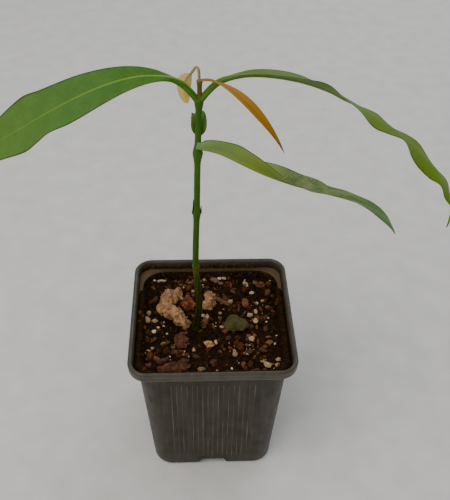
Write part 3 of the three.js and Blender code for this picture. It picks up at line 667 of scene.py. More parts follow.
# %% Stem mesh
SOIL_LEVEL, SOIL_RELIEF = 76.0, 1.5
STEM_X, STEM_Y = -8.0, -3.2
STEM_FOOT, STEM_TOP = 76.3, 206.2
STEM_RADIUS, STEM_TAPER = 1.54, 0.17
FLARE_RADIUS, FLARE_HEIGHT = 0.75, 7.5
STEM_LEAN = [
    (76.3, 0), (86, 1.2), (95, 1.9), (103, 1.2), (118, 0.5), (130, 0.6), (151, 1.3), (174, 1.8),
    (206.2, 2.8),
]
STEM_NODES = [(118.5, 0.22, 1.1), (149.5, 0.4, 2.2), (180.4, 0.75, 3.3), (204.0, 0.55, 2.6)]
STEM_RINGS, STEM_SIDES = 420, 36
SCARS, SCAR_HEIGHT, SCAR_SPREAD = 3, 0.1, 0.3
DOME_EDGE, DOME_HEIGHT = 0.12, 1.6
BUMPS_ROUND, BUMP_LENGTH = 1.4, 5


def stem_x(z):
    """How far to the side the stem stands at height z."""
    return STEM_X + along(STEM_LEAN, z)


def stem_radius(z):
    """Radius of the stem at height z, with its root flare and its swollen nodes."""
    up_share = (z - STEM_FOOT) / (STEM_TOP - STEM_FOOT)
    radius = STEM_RADIUS * (1 - STEM_TAPER * up_share)
    radius += FLARE_RADIUS * math.exp(-(z - STEM_FOOT) / FLARE_HEIGHT)
    for node_height, swell, spread in STEM_NODES:
        radius += swell * math.exp(-(((z - node_height) / spread) ** 2))
    return radius


def limb_rings(bottom, top, count, sides, x_at, radius_at, y, rough, seed):
    """Rings of an upright round limb. rough is the unevenness as a share of the radius."""
    rings = []
    for i in range(count + 1):
        z = bottom + (top - bottom) * i / count
        ring = []
        for k in range(sides):
            angle = 2 * math.pi * k / sides
            spot = BUMPS_ROUND * Vector((math.cos(angle), math.sin(angle), 0))
            spot.z = z / BUMP_LENGTH + seed
            radius = radius_at(z) * (1 + rough * noise.noise(spot))
            ring.append(
                Vector((x_at(z) + radius * math.cos(angle), y + radius * math.sin(angle), z))
            )
        rings.append(ring)
    return rings


def ringed_radius(z):
    """The stem's radius with a fine raised scar at each node and a domed top."""
    radius = stem_radius(z)
    for node_height, _, _ in STEM_NODES[:SCARS]:
        radius += SCAR_HEIGHT * math.exp(-(((z - node_height) / SCAR_SPREAD) ** 2))
    return radius * math.sqrt(min(1.0, DOME_EDGE + (STEM_TOP - z) / DOME_HEIGHT))


stem_mesh = loft_mesh(
    "stem_bark",
    limb_rings(
        STEM_FOOT, STEM_TOP, STEM_RINGS, STEM_SIDES, stem_x, ringed_radius, STEM_Y, rough=0.035,
        seed=3.0,
    ),
)
tidy_mesh(stem_mesh)
add_piece("stem_bark", stem_mesh, [stem_finish], "green_stem", "stem")

# %% [markdown]
# ## New shoot and bud scales
# Above the fork a soft new shoot has just opened. It is brown and thinner than the stem. Lower
# down, two bud scales lie against the stem at a node: a green one and a dry dark one. All three
# are small, so plain lofts do.

# %% Shoot finish
shoot_finish, tree, shader = new_finish(
    "soft new bark", Roughness=0.5, IOR=1.45, Specular_IOR_Level=0.3
)
place = add_node(tree, "ShaderNodeTexCoord").outputs["Object"]
height = add_node(tree, "ShaderNodeSeparateXYZ", None, {"Vector": place})
share = add_node(
    tree, "ShaderNodeMapRange", {"From Min": 0.2055, "From Max": 0.2145},
    {"Value": height.outputs["Z"]},
)
shoot_ramp = add_node(tree, "ShaderNodeValToRGB", None, {"Fac": share})
set_ramp(shoot_ramp, [(0.0, "#6e6208"), (0.25, "#5d4a06"), (0.7, "#5c4c14"), (1.0, "#7d6a3c")])
specks = add_node(tree, "ShaderNodeTexNoise", {"Scale": 1800.0, "Detail": 2.0}, {"Vector": place})
speck_share = add_node(
    tree, "ShaderNodeMapRange", {"From Min": 0.45, "From Max": 0.7, "To Max": 0.4},
    {"Value": specks.outputs["Fac"]},
)
speckled = add_node(
    tree, "ShaderNodeMix", {"data_type": "RGBA", MIX_SECOND: linear("#3d2610")},
    {MIX_FACTOR: speck_share, MIX_FIRST: shoot_ramp},
)
tree.links.new(speckled.outputs[MIX_RESULT], shader.inputs["Base Color"])
relief = add_node(
    tree, "ShaderNodeBump", {"Strength": 0.3, "Distance": 0.0001}, {"Height": specks.outputs["Fac"]}
)
tree.links.new(relief.outputs[0], shader.inputs["Normal"])

# %% Shoot and scale meshes
SHOOT_FOOT, SHOOT_TOP = 206.5, 213.7
SHOOT_X = stem_x(STEM_TOP) + 0.2
SHOOT_RADIUS = 0.95
SHOOT_SUNK, SHOOT_SWELL, SWELL_SPREAD = 0.9, 0.28, 1.3
SHOOT_EDGE, SHOOT_DOME = 0.15, 0.9
SHOOT_RINGS, SHOOT_SIDES = 40, 24
SCALE_SEAT, SCALE_RINGS, SCALE_SIDES = -0.15, 25, 16
SCALE_POINT, SCALE_BASE, SCALE_BELLY = 0.004, 0.45, 2.2
BUD_SCALES = {
    "bud_scale_left": {
        "height": 149.6, "angle": 180, "length": 7.4, "width": 1.7, "thick": 0.6, "lean": -0.02
    },
    "bud_scale_right": {
        "height": 149.8, "angle": -12, "length": 4.2, "width": 1.1, "thick": 0.6, "lean": 0.1
    },
}


def shoot_radius(z):
    """Radius of the shoot, with the swelling that carries its two leaves."""
    radius = SHOOT_RADIUS + SHOOT_SWELL * math.exp(-(((z - SHOOT_TOP + 1) / SWELL_SPREAD) ** 2))
    return radius * math.sqrt(min(1.0, SHOOT_EDGE + (SHOOT_TOP - z) / SHOOT_DOME))


def scale_rings(height, angle, length, width, thick, lean):
    """Rings of a small pointed scale that stands against the stem."""
    out = Vector((math.cos(math.radians(angle)), math.sin(math.radians(angle)), 0))
    across = Vector((-out.y, out.x, 0))
    rings = []
    for i in range(SCALE_RINGS):
        t = i / (SCALE_RINGS - 1)
        z = height + length * t
        spread = math.sqrt(max(SCALE_POINT, (1 - t) * (SCALE_BASE + SCALE_BELLY * t)))
        reach = stem_radius(z) + SCALE_SEAT + max(0.0, lean) * length * t
        middle = Vector((stem_x(z), STEM_Y, z)) + out * (reach + thick / 2)
        ring = []
        for k in range(SCALE_SIDES):
            turn_here = 2 * math.pi * k / SCALE_SIDES
            flat = across * (-width / 2 * spread * math.cos(turn_here))
            ring.append(middle + flat + out * (thick / 2 * spread * math.sin(turn_here)))
        rings.append(ring)
    return rings


shoot_mesh = loft_mesh(
    "shoot_bark",
    limb_rings(
        SHOOT_FOOT - SHOOT_SUNK, SHOOT_TOP, SHOOT_RINGS, SHOOT_SIDES, lambda z: SHOOT_X,
        shoot_radius, STEM_Y, rough=0.06, seed=8.0,
    ),
)
tidy_mesh(shoot_mesh)
add_piece("shoot_bark", shoot_mesh, [shoot_finish], "brown_shoot", "new_shoot")
for scale_name, sizes in BUD_SCALES.items():
    scale_mesh = loft_mesh(scale_name + "_skin", scale_rings(**sizes))
    tidy_mesh(scale_mesh)
    add_piece(scale_name + "_skin", scale_mesh, [scale_finish], "brown_shoot", scale_name)

# %% [markdown]
# ## Leaves
# An achachairu leaf is long and leathery, with a strong midrib, many fine side veins and edges
# that ripple. Each leaf is one loft along its midrib. The midrib is steered by its heading and
# its rise, the blade rolls and folds round it, and both margins wave off its plane. The mesh keeps
# the CAD leaf's curves but is as thin as a real blade, with the midrib as a ridge below.

# %% Leaf values
LEAVES = {
    "leaf_upper_left": {
        "foot": (stem_x(203.5), STEM_Y, 203.5), "length": 119.0, "petiole": 12.0, "stalk": 2.65,
        "width": 23.4, "belly": 1.08, "base": 0.75, "tip": 0.85, "heading": [(0, 184), (1, 188)],
        "rise": [
            (0, 60), (0.07, 47), (0.13, 20), (0.2, 1), (0.3, -15), (0.45, -25), (0.6, -29),
            (0.75, -29), (0.88, -38), (1, -50),
        ],
        "roll": [(0, -5), (0.3, -16), (0.6, -22), (1, -20)], "fold": [(0, 8), (0.4, 2), (1, 2)],
        "left_wave": [
            (0, 0), (0.3, 0), (0.42, 0.6), (0.5, 2.3), (0.56, 1), (0.62, -0.4), (0.7, 0.7),
            (0.8, 1.3), (0.9, 0.3), (1, 0),
        ],
        "right_wave": [
            (0, 0), (0.42, 0), (0.5, 0.6), (0.56, 2.2), (0.62, 1.5), (0.68, 0.4), (0.8, -1.2),
            (0.92, 0.6), (1, 0),
        ],
    },
    "leaf_upper_right": {
        "foot": (stem_x(203.5), STEM_Y, 203.5), "length": 148.0, "petiole": 12.0, "stalk": 2.65,
        "width": 22.0, "belly": 0.95, "base": 0.95, "tip": 0.95,
        "heading": [(0, 2), (0.5, -4), (1, -8)],
        "rise": [
            (0, 58), (0.06, 44), (0.1, 19), (0.17, 0), (0.28, -13), (0.4, -26), (0.5, -31),
            (0.6, -37), (0.7, -43), (0.8, -51), (0.88, -67), (0.95, -86), (1, -100),
        ],
        "roll": [(0, -10), (0.2, -18), (0.4, -30), (0.5, -24), (0.6, -18), (0.7, -8), (1, 0)],
        "fold": [(0, 25), (0.3, 8), (0.42, 0), (1, 0)],
        "left_wave": [
            (0, 0.6), (0.13, 0.5), (0.24, 1.1), (0.3, 1.2), (0.36, 0.6), (0.41, 0.2), (0.47, 1.1),
            (0.52, 1.5), (0.57, 0.2), (0.6, 0), (0.64, 0.7), (0.68, 1.1), (0.72, 0.3), (0.75, -0.8),
            (0.79, -0.4), (0.84, 0.9), (0.9, 0), (1, 0),
        ],
        "right_wave": [
            (0, 0), (0.22, 0), (0.29, 0.7), (0.35, -1.7), (0.4, -2.7), (0.46, -4.4), (0.51, -2.9),
            (0.565, -0.8), (0.62, -2.7), (0.67, -3.4), (0.73, -3), (0.78, -1.4), (0.84, -2.4),
            (0.9, -0.9), (1, 0),
        ],
    },
    "leaf_lower_right": {
        "foot": (stem_x(184) - 0.5, STEM_Y - 1.6, 185.2), "length": 98.0, "petiole": 1.0,
        "stalk": 3.2, "width": 19.0, "belly": 0.72, "base": 0.64, "tip": 0.22,
        "heading": [(0, -2), (1, -4)],
        "rise": [
            (0, -14), (0.1, -25), (0.2, -30), (0.35, -24), (0.5, -17), (0.65, -16), (0.8, -27),
            (0.9, -42), (1, -66),
        ],
        "roll": [(0, -52), (0.2, -43), (0.3, -29), (0.4, -17), (0.5, -16), (0.85, -17), (1, -8)],
        "fold": [(0, 28), (0.3, 27), (0.42, 22), (0.52, 14), (0.75, 12), (0.88, 3), (1, 0)],
        "left_wave": [
            (0, 0), (0.42, 0), (0.5, 0.2), (0.55, 0.3), (0.59, -0.2), (0.63, -1.3), (0.7, -0.9),
            (0.77, -0.6), (0.86, 0.8), (0.95, 0.6), (1, 0),
        ],
        "right_wave": [
            (0, 0.8), (0.08, 0.6), (0.145, 0.9), (0.2, 0), (0.5, -0.5), (0.62, 0.6), (0.7, 0),
            (0.77, -0.9), (0.86, -1.4), (1, -0.4),
        ],
    },
    "leaf_lower_back": {
        "foot": (stem_x(185.5) + 0.5, STEM_Y + 0.8, 185.5), "length": 17.0, "petiole": 2.0,
        "stalk": 1.6, "width": 7.8, "belly": 0.7, "base": 1.0, "tip": 1.2,
        "heading": [(0, 95), (0.6, 100), (1, 170)],
        "rise": [(0, 66), (0.45, 74), (0.6, 20), (0.75, -30), (1, -50)], "roll": [(0, 0), (1, 0)],
        "fold": [(0, 40), (1, 30)], "left_wave": [(0, 0), (1, 0)], "right_wave": [(0, 0), (1, 0)],
    },
    "leaf_young_right": {
        "foot": (SHOOT_X - 0.5, STEM_Y, SHOOT_TOP - 1), "length": 46.2, "petiole": 6.0,
        "stalk": 1.1, "width": 5.0, "belly": 0.9, "base": 1.1, "tip": 0.9,
        "heading": [(0, -28), (1, -28)],
        "rise": [(0, 30), (0.09, 12), (0.16, -8), (0.3, -22), (0.5, -36), (0.7, -45), (1, -57)],
        "roll": [(0, 5), (1, 5)], "fold": [(0, 14), (1, 10)],
        "left_wave": [(0, 0), (0.4, 0.2), (0.7, -0.1), (1, 0)],
        "right_wave": [(0, 0), (0.5, -0.2), (0.8, 0.1), (1, 0)],
    },
    "leaf_young_back": {
        "foot": (SHOOT_X, STEM_Y, SHOOT_TOP - 1), "length": 24.4, "petiole": 9.2, "stalk": 1.1,
        "width": 5.6, "belly": 0.85, "base": 1.1, "tip": 0.5,
        "heading": [(0, 145), (0.3, 150), (1, 150)],
        "rise": [
            (0, 84), (0.17, 82), (0.22, 40), (0.25, -30), (0.3, -56), (0.45, -48), (0.58, -64),
            (0.7, -86), (0.85, -102), (1, -112),
        ],
        "roll": [(0, 0), (0.35, 20), (0.5, 60), (1, 70)], "fold": [(0, 10), (1, 10)],
        "left_wave": [(0, 0), (0.4, 0.3), (0.8, -0.3), (1, 0)],
        "right_wave": [(0, 0), (0.3, -0.3), (0.7, 0.4), (1, 0)],
    },
}
print("leaves:", ", ".join(LEAVES))

# %% Leaf mesh
ALONG_STEPS, HALF_STEPS = 220, 14
BLADE_HALF_THICK = 0.2
MARGIN_HALF_THICK = 0.07
MIDRIB_DEPTH = 0.75
KEEL_HALF_WIDTH, KEEL_FADE, CREST_SHARE = 0.75, 0.85, 0.16
UV_WIDTH_MM = 100.0
WAVE_ONSET = 2.5
FINE_STEPS = 4
ROW_CROWDING = 1.25
FULL_WIDTH = 20
STALK_EASE, STALK_LEAST = 1.15, 0.05
FOLD_FULL, FOLD_EASE = 0.35, 0.1
BLADE_FROM, BLADE_FULL = -0.02, 0.1


def midrib_frame(leaf, place):
    """Directions ahead, to the side and out of the face of the blade at a place on the midrib."""
    heading = math.radians(along(leaf["heading"], place))
    rise = math.radians(along(leaf["rise"], place))
    ahead = Vector(
        (math.cos(rise) * math.cos(heading), math.cos(rise) * math.sin(heading), math.sin(rise))
    )
    side = Vector((-math.sin(heading), math.cos(heading), 0))
    side.rotate(Matrix.Rotation(math.radians(along(leaf["roll"], place)), 3, ahead))
    return ahead, side, ahead.cross(side)


def midrib_points(leaf):
    """Midrib points at even steps, walked along its direction."""
    point = Vector(leaf["foot"])
    points = []
    for i in range(ALONG_STEPS + 1):
        points.append(point.copy())
        for j in range(FINE_STEPS):
            ahead = midrib_frame(leaf, (i + (j + 0.5) / FINE_STEPS) / ALONG_STEPS)[0]
            point += ahead * (leaf["length"] / ALONG_STEPS / FINE_STEPS)
    return points


def cross_section(leaf, place):
    """Across positions and the upper and lower heights over the middle surface, in mm."""
    stalk_share = leaf["petiole"] / leaf["length"]
    u = (place - stalk_share) / (1 - stalk_share)
    spread = 0.0
    if 0 < u < 1:
        share = u ** leaf["belly"]
        spread = math.sin(math.pi * share) ** (leaf["base"] if share < 0.5 else leaf["tip"])
    stalk = leaf["stalk"] / 2 * min(1.0, max(STALK_LEAST, STALK_EASE - STALK_EASE * u))
    half = max(leaf["width"] / 2 * spread, stalk)
    thinness = min(1.0, leaf["width"] / FULL_WIDTH)
    blade = smoothstep(u, BLADE_FROM, BLADE_FULL)
    rows = []
    for k in range(-HALF_STEPS, HALF_STEPS + 1):
        across = math.copysign(abs(k / HALF_STEPS) ** ROW_CROWDING, k)
        away = abs(across) * half
        stalk_height = stalk * math.sqrt(max(0.0, 1 - across * across))
        plate = thinness * (
            MARGIN_HALF_THICK + (BLADE_HALF_THICK - MARGIN_HALF_THICK) * (1 - across**4)
        )
        plate *= math.sqrt(max(0.0, 1 - abs(across) ** 8))
        keel = thinness * MIDRIB_DEPTH * (1 - KEEL_FADE * max(u, 0))
        keel *= math.exp(-((away / KEEL_HALF_WIDTH) ** 2))
        crest = CREST_SHARE * keel
        upper = stalk_height + (min(plate + crest, half) - stalk_height) * blade
        lower = stalk_height + (min(plate + keel, half) - stalk_height) * blade
        rows.append((across, away, upper, lower))
    return u, spread, half, rows


def leaf_mesh(name, leaf):
    """Closed leaf with an upper face (material 0) and a lower face (material 1)."""
    middles = midrib_points(leaf)
    points, marks = [], []
    count = 2 * HALF_STEPS + 1
    for i, middle in enumerate(middles):
        place = i / ALONG_STEPS
        _, side, face = midrib_frame(leaf, place)
        u, spread, half, rows = cross_section(leaf, place)
        fold = math.radians(along(leaf["fold"], place)) * smoothstep(spread, 0, FOLD_FULL)
        grown = min(1.0, WAVE_ONSET * spread)
        lifts = {
            1: grown * along(leaf["left_wave"], u), -1: grown * along(leaf["right_wave"], u), 0: 0.0
        }
        upper_side, lower_side = [], []
        for across, away, upper, lower in rows:
            hand = (across > 0) - (across < 0)
            # The fold eases in over the first tenth of the half blade, so the midrib is rounded.
            bend = fold * smoothstep(abs(across), 0.0, FOLD_EASE)
            out = side * (hand * math.cos(bend)) + face * math.sin(bend)
            normal = (face * math.cos(bend) - side * (hand * math.sin(bend))).normalized()
            base = middle + out * away + normal * (lifts[hand] * across * across)
            shift = math.copysign(away, across)
            upper_side.append((base + normal * upper, (place, shift, abs(across))))
            lower_side.append((base - normal * lower, (place, shift, abs(across))))
        ring = upper_side + lower_side[::-1]
        points += [p for p, mark in ring]
        marks += [mark for p, mark in ring]
    around = 2 * count
    for first in (0, ALONG_STEPS * around):
        points.append(sum(points[first : first + around], Vector()) / around)
        marks.append((first / around / ALONG_STEPS, 0.0, 0.0))
    faces = loft_faces(ALONG_STEPS + 1, around)
    mesh = bpy.data.meshes.new(name)
    mesh.from_pydata([p * MM for p in points], [], faces)
    blade_map = mesh.uv_layers.new(name="blade")
    for loop in mesh.loops:
        place, shift, edge = marks[loop.vertex_index]
        blade_map.data[loop.index].uv = (place, 0.5 + shift / UV_WIDTH_MM)
    edge_marks = mesh.attributes.new("edge", "FLOAT", "POINT")
    for index, mark in enumerate(marks):
        edge_marks.data[index].value = mark[2]
    for face in mesh.polygons:
        column = min(face.vertices) % around if max(face.vertices) < len(points) - 2 else 0
        face.material_index = 0 if column < count else 1
    return mesh


print("leaf grid:", ALONG_STEPS, "by", 4 * HALF_STEPS + 2)

# %% [markdown]
# ## Leaf finishes
# The upper face of the blade is waxy and half glossy, the lower face is dull and paler. Both
# share one recipe: a colour that changes along the leaf, soft mottling, fine side veins every
# few millimetres that lean towards the tip, a paler midrib, and a thin dark line at the margin.
# The blade's own UV map gives the place along it and the distance from the midrib, so the
# veins follow every bend of the leaf.

# %% Leaf finish recipe
LEAF_SHINE = 0.13


def leaf_finish(
    name, length, colours, vein, midrib, margin, roughness, vein_share=0.3, vein_step=2.4,
    mottle=0.25, mottle_and_glints_from=-1.0, mottle_and_glints_to=2.0,
):
    """Leaf surface. colours are (place, hex) stops from the foot to the tip."""
    material, tree, shader = new_finish(
        name, Roughness=roughness, IOR=1.42, Specular_IOR_Level=LEAF_SHINE
    )
    blade = add_node(tree, "ShaderNodeUVMap", {"uv_map": "blade"})
    parts = add_node(tree, "ShaderNodeSeparateXYZ", None, {"Vector": blade})
    place = add_node(tree, "ShaderNodeTexCoord").outputs["Object"]
    from_midrib = add_node(
        tree, "ShaderNodeMath", {"operation": "MULTIPLY_ADD", 1: UV_WIDTH_MM, 2: -UV_WIDTH_MM / 2},
        {0: parts.outputs["Y"]},
    )
    away = add_node(tree, "ShaderNodeMath", {"operation": "ABSOLUTE"}, {0: from_midrib})
    walked = add_node(
        tree, "ShaderNodeMath", {"operation": "MULTIPLY", 1: length}, {0: parts.outputs["X"]}
    )
    ramp = add_node(tree, "ShaderNodeValToRGB", None, {"Fac": parts.outputs["X"]})
    set_ramp(ramp, colours)
    # Mottling: soft patches about 5 mm across.
    patches = add_node(
        tree, "ShaderNodeTexNoise", {"Scale": 190.0, "Detail": 5.0, "Roughness": 0.6},
        {"Vector": place},
    )
    patch_share = add_node(
        tree, "ShaderNodeMapRange", {"From Min": 0.4, "From Max": 0.7, "To Max": mottle},
        {"Value": patches.outputs["Fac"]},
    )
    # Some blades are mottled only between two places along them. On the lower right leaf these pale
    # patches are also painted glints.
    begun = add_node(
        tree, "ShaderNodeMapRange",
        {"From Min": mottle_and_glints_from - 0.03, "From Max": mottle_and_glints_from + 0.03},
        {"Value": parts.outputs["X"]},
    )
    ended = add_node(
        tree, "ShaderNodeMapRange",
        {
            "From Min": mottle_and_glints_to - 0.07, "From Max": mottle_and_glints_to + 0.07, "To Min": 1.0,
            "To Max": 0.15,
        },
        {"Value": parts.outputs["X"]},
    )
    between = add_node(tree, "ShaderNodeMath", {"operation": "MULTIPLY"}, {0: begun, 1: ended})
    patch_kept = add_node(
        tree, "ShaderNodeMath", {"operation": "MULTIPLY"}, {0: patch_share, 1: between}
    )
    mottled = add_node(
        tree, "ShaderNodeMix", {"data_type": "RGBA", MIX_SECOND: linear(vein)},
        {MIX_FACTOR: patch_kept, MIX_FIRST: ramp},
    )
    # Side veins: they leave the midrib at about 60 degrees and wander a little.
    leaned = add_node(
        tree, "ShaderNodeMath", {"operation": "MULTIPLY_ADD", 1: -0.6}, {0: away, 2: walked}
    )
    wander = add_node(
        tree, "ShaderNodeTexNoise", {"Scale": 260.0, "Detail": 2.0}, {"Vector": place}
    )
    wandered = add_node(
        tree, "ShaderNodeMath", {"operation": "MULTIPLY_ADD", 1: 2.4},
        {0: wander.outputs["Fac"], 2: leaned},
    )
    counted = add_node(
        tree, "ShaderNodeMath", {"operation": "MULTIPLY", 1: 1 / vein_step}, {0: wandered}
    )
    tooth = add_node(tree, "ShaderNodeMath", {"operation": "PINGPONG", 1: 0.5}, {0: counted})
    vein_line = add_node(
        tree, "ShaderNodeMapRange",
        {
            "interpolation_type": "SMOOTHSTEP", "From Min": 0.0, "From Max": 0.16, "To Min": 1.0,
            "To Max": 0.0,
        },
        {"Value": tooth},
    )
    vein_amount = add_node(
        tree, "ShaderNodeMath", {"operation": "MULTIPLY", 1: vein_share}, {0: vein_line}
    )
    veined = add_node(
        tree, "ShaderNodeMix", {"data_type": "RGBA", MIX_SECOND: linear(vein)},
        {MIX_FACTOR: vein_amount, MIX_FIRST: mottled.outputs[MIX_RESULT]},
    )
    # The midrib is about 1 mm wide, narrows towards the tip and fades into the blade.
    narrowing = add_node(
        tree, "ShaderNodeMath", {"operation": "MULTIPLY_ADD", 1: -0.55, 2: 0.75},
        {0: parts.outputs["X"]},
    )
    fading = add_node(
        tree, "ShaderNodeMapRange",
        {"From Min": 0.12, "From Max": 0.8, "To Min": 0.8, "To Max": 0.15},
        {"Value": parts.outputs["X"]},
    )
    midrib_line = add_node(
        tree, "ShaderNodeMapRange",
        {"interpolation_type": "SMOOTHSTEP", "From Min": 0.15, "To Max": 0.0},
        {"Value": away, "From Max": narrowing, "To Min": fading},
    )
    ribbed = add_node(
        tree, "ShaderNodeMix", {"data_type": "RGBA", MIX_SECOND: linear(midrib)},
        {MIX_FACTOR: midrib_line, MIX_FIRST: veined.outputs[MIX_RESULT]},
    )
    edge = add_node(tree, "ShaderNodeAttribute", {"attribute_name": "edge"})
    on_blade = add_node(
        tree, "ShaderNodeMapRange", {"From Min": 2.0, "From Max": 3.0}, {"Value": away}
    )
    margin_line = add_node(
        tree, "ShaderNodeMapRange",
        {"interpolation_type": "SMOOTHSTEP", "From Min": 0.9, "From Max": 0.99, "To Max": 0.75},
        {"Value": edge.outputs["Fac"]},
    )
    margin_share = add_node(
        tree, "ShaderNodeMath", {"operation": "MULTIPLY"}, {0: margin_line, 1: on_blade}
    )
    edged = add_node(
        tree, "ShaderNodeMix", {"data_type": "RGBA", MIX_SECOND: linear(margin)},
        {MIX_FACTOR: margin_share, MIX_FIRST: ribbed.outputs[MIX_RESULT]},
    )
    tree.links.new(edged.outputs[MIX_RESULT], shader.inputs["Base Color"])
    grain = add_node(
        tree, "ShaderNodeTexNoise", {"Scale": 1400.0, "Detail": 3.0}, {"Vector": place}
    )
    height = add_node(
        tree, "ShaderNodeMath", {"operation": "MULTIPLY_ADD", 1: 0.35},
        {0: grain.outputs["Fac"], 2: vein_line},
    )
    relief = add_node(
        tree, "ShaderNodeBump", {"Strength": 0.15, "Distance": 0.0001}, {"Height": height}
    )
    tree.links.new(relief.outputs[0], shader.inputs["Normal"])
    return material


DARK_MARGIN = "#23380a"
deep_green = leaf_finish(
    "waxy deep green blade", length=119,
    colours=[
        (0.0, "#3c6410"), (0.14, "#386114"), (0.4, "#44682a"), (0.7, "#4f6e2a"), (1.0, "#4a6e28")
    ],
    vein="#648a38", midrib="#7f9a3a", margin=DARK_MARGIN, roughness=0.5, vein_share=0.1, mottle=0.2,
)
deep_green_under = leaf_finish(
    "dull green underside", length=119,
    colours=[(0.0, "#4a701c"), (0.3, "#6a8434"), (1.0, "#768c36")], vein="#84985a",
    midrib="#93a566", margin=DARK_MARGIN, roughness=0.6, vein_share=0.1, mottle=0.15,
)
# The paler stop at 0.42 is painted light, on a strip of the blade that faces down into shade.
olive = leaf_finish(
    "waxy olive blade", length=148,
    colours=[
        (0.0, "#3c6410"), (0.12, "#4e6a24"), (0.28, "#58702e"), (0.42, "#667f3e"), (0.5, "#5a7418"),
        (0.58, "#556c08"), (0.8, "#5e7c04"), (1.0, "#52720e"),
    ],
    vein="#6f8a30", midrib="#8da25c", margin=DARK_MARGIN, roughness=0.55, vein_share=0.08,
    mottle=0.2,
)
# Between 0.42 and 0.76 of its length, the strong pale patches are partly mottling and partly
# painted glints of the glossy blade.
low_green = leaf_finish(
    "mottled blade with painted glints", length=96,
    colours=[
        (0.0, "#6e8a50"), (0.12, "#728c48"), (0.25, "#7c8c34"), (0.38, "#748a34"),
        (0.44, "#48621e"), (0.6, "#4a641c"), (0.78, "#3c660e"), (0.9, "#3a6e02"), (1.0, "#40700a"),
    ],
    vein="#8f9058", midrib="#7f8f4a", margin=DARK_MARGIN, roughness=0.45, vein_share=0.3,
    vein_step=1.8, mottle=0.8, mottle_and_glints_from=0.42, mottle_and_glints_to=0.76,
)
low_under = leaf_finish(
    "dull olive underside", length=96,
    colours=[
        (0.0, "#74925a"), (0.12, "#78924e"), (0.25, "#869638"), (0.5, "#82963c"), (1.0, "#708e38")
    ],
    vein="#7f9040", midrib="#8b9a48", margin=DARK_MARGIN, roughness=0.6, vein_share=0.03,
    mottle=0.1,
)
cupped = leaf_finish(
    "withered olive blade", length=17,
    colours=[
        (0.0, "#48701c"), (0.5, "#5f7f30"), (0.72, "#556228"), (0.85, "#3e3814"), (1.0, "#2b250e")
    ],
    vein="#6c803a", midrib="#70883a", margin="#26280f", roughness=0.6, vein_step=1.2,
)
bronze = leaf_finish(
    "bronze young blade", length=45,
    colours=[
        (0.0, "#7d6432"), (0.13, "#906e36"), (0.4, "#9e7026"), (0.8, "#966812"), (1.0, "#774e12")
    ],
    vein="#b8842a", midrib="#80601e", margin="#74490f", roughness=0.5, vein_share=0.12,
    vein_step=1.4,
)
straw = leaf_finish(
    "straw young blade", length=24.4,
    colours=[
        (0.0, "#7a6c48"), (0.36, "#85764e"), (0.45, "#dec080"), (0.75, "#f0cc74"), (1.0, "#e0b65c")
    ],
    vein="#e0c890", midrib="#8f7e54", margin="#c09c5c", roughness=0.6, vein_share=0.12,
    vein_step=1.4,
)

# %% Make the leaves
LEAF_FACES = {
    "leaf_upper_left": (deep_green, deep_green_under, "leaf_green"),
    "leaf_upper_right": (olive, deep_green_under, "leaf_green"),
    "leaf_lower_right": (low_green, low_under, "leaf_pale_green"),
    "leaf_lower_back": (cupped, cupped, "leaf_pale_green"),
    "leaf_young_right": (bronze, bronze, "leaf_bronze"),
    "leaf_young_back": (straw, straw, "leaf_straw"),
}
for leaf_name, (upper_finish, lower_finish, slot) in LEAF_FACES.items():
    blade_mesh = leaf_mesh(leaf_name + "_blade", LEAVES[leaf_name])
    tidy_mesh(blade_mesh)
    add_piece(leaf_name + "_blade", blade_mesh, [upper_finish, lower_finish], slot, leaf_name)

# %% [markdown]
# ## Potting mix
# The mix is peat, bark fibre and perlite. Watering settled it a little below the ledge at the
# back, and it is heaped on the ledge at the front and the sides. Its bed is one closed lump
# with an uneven top. The crumbs, fibres and white grains that give it its look are strewn over
# it with Geometry Nodes: points spread over the top at a least distance, one small shape on
# each, turned and sized at random from a fixed seed.

# %% Potting mix finish
mix_finish, tree, shader = new_finish(
    "damp potting mix", Roughness=0.85, IOR=1.4, Specular_IOR_Level=0.08
)
place = add_node(tree, "ShaderNodeTexCoord").outputs["Object"]
tone = add_node(tree, "ShaderNodeAttribute", {"attribute_name": "tone"})
# Peat crumbs are about 1.5 mm across, with grit of 0.3 mm on them.
crumbs = add_node(
    tree, "ShaderNodeTexNoise", {"Scale": 650.0, "Detail": 6.0, "Roughness": 0.65},
    {"Vector": place},
)
toned = add_node(
    tree, "ShaderNodeMath", {"operation": "MULTIPLY_ADD", 1: 0.55},
    {0: tone.outputs["Fac"], 2: crumbs.outputs["Fac"]},
)
shifted = add_node(tree, "ShaderNodeMath", {"operation": "ADD", 1: -0.2}, {0: toned})
# The darkest stops, which the bed takes, are damp peat and painted shade in the hollows between the
# crumbs.
mix_ramp = add_node(tree, "ShaderNodeValToRGB", None, {"Fac": shifted})
set_ramp(
    mix_ramp,
    [(0.25, "#0e0702"), (0.42, "#1b1005"), (0.58, "#2e1a09"), (0.76, "#45280f"), (0.95, "#5e3a18")],
)
tree.links.new(mix_ramp.outputs[0], shader.inputs["Base Color"])
relief = add_node(
    tree, "ShaderNodeBump", {"Strength": 1.0, "Distance": 0.0006}, {"Height": crumbs.outputs["Fac"]}
)
tree.links.new(relief.outputs[0], shader.inputs["Normal"])

# %% Bed of potting mix
BED_RINGS = 70
BED_FOOT, BED_ROUND, BED_GAP = 0.4, 1.4, 0.15
COLLAR_GAP, COLLAR_ROUND = 1.1, 0.3
# The bed's low tone makes it near-black between the crumbs: damp dark peat and painted shade in the
# hollows.
HEAP_TONE, SHADED_BED_TONE, HEAP_EDGE = 0.1, 0.25, 2
CALM_SHARE, CALM_FROM, CALM_TO = 0.3, 3.4, 7.4
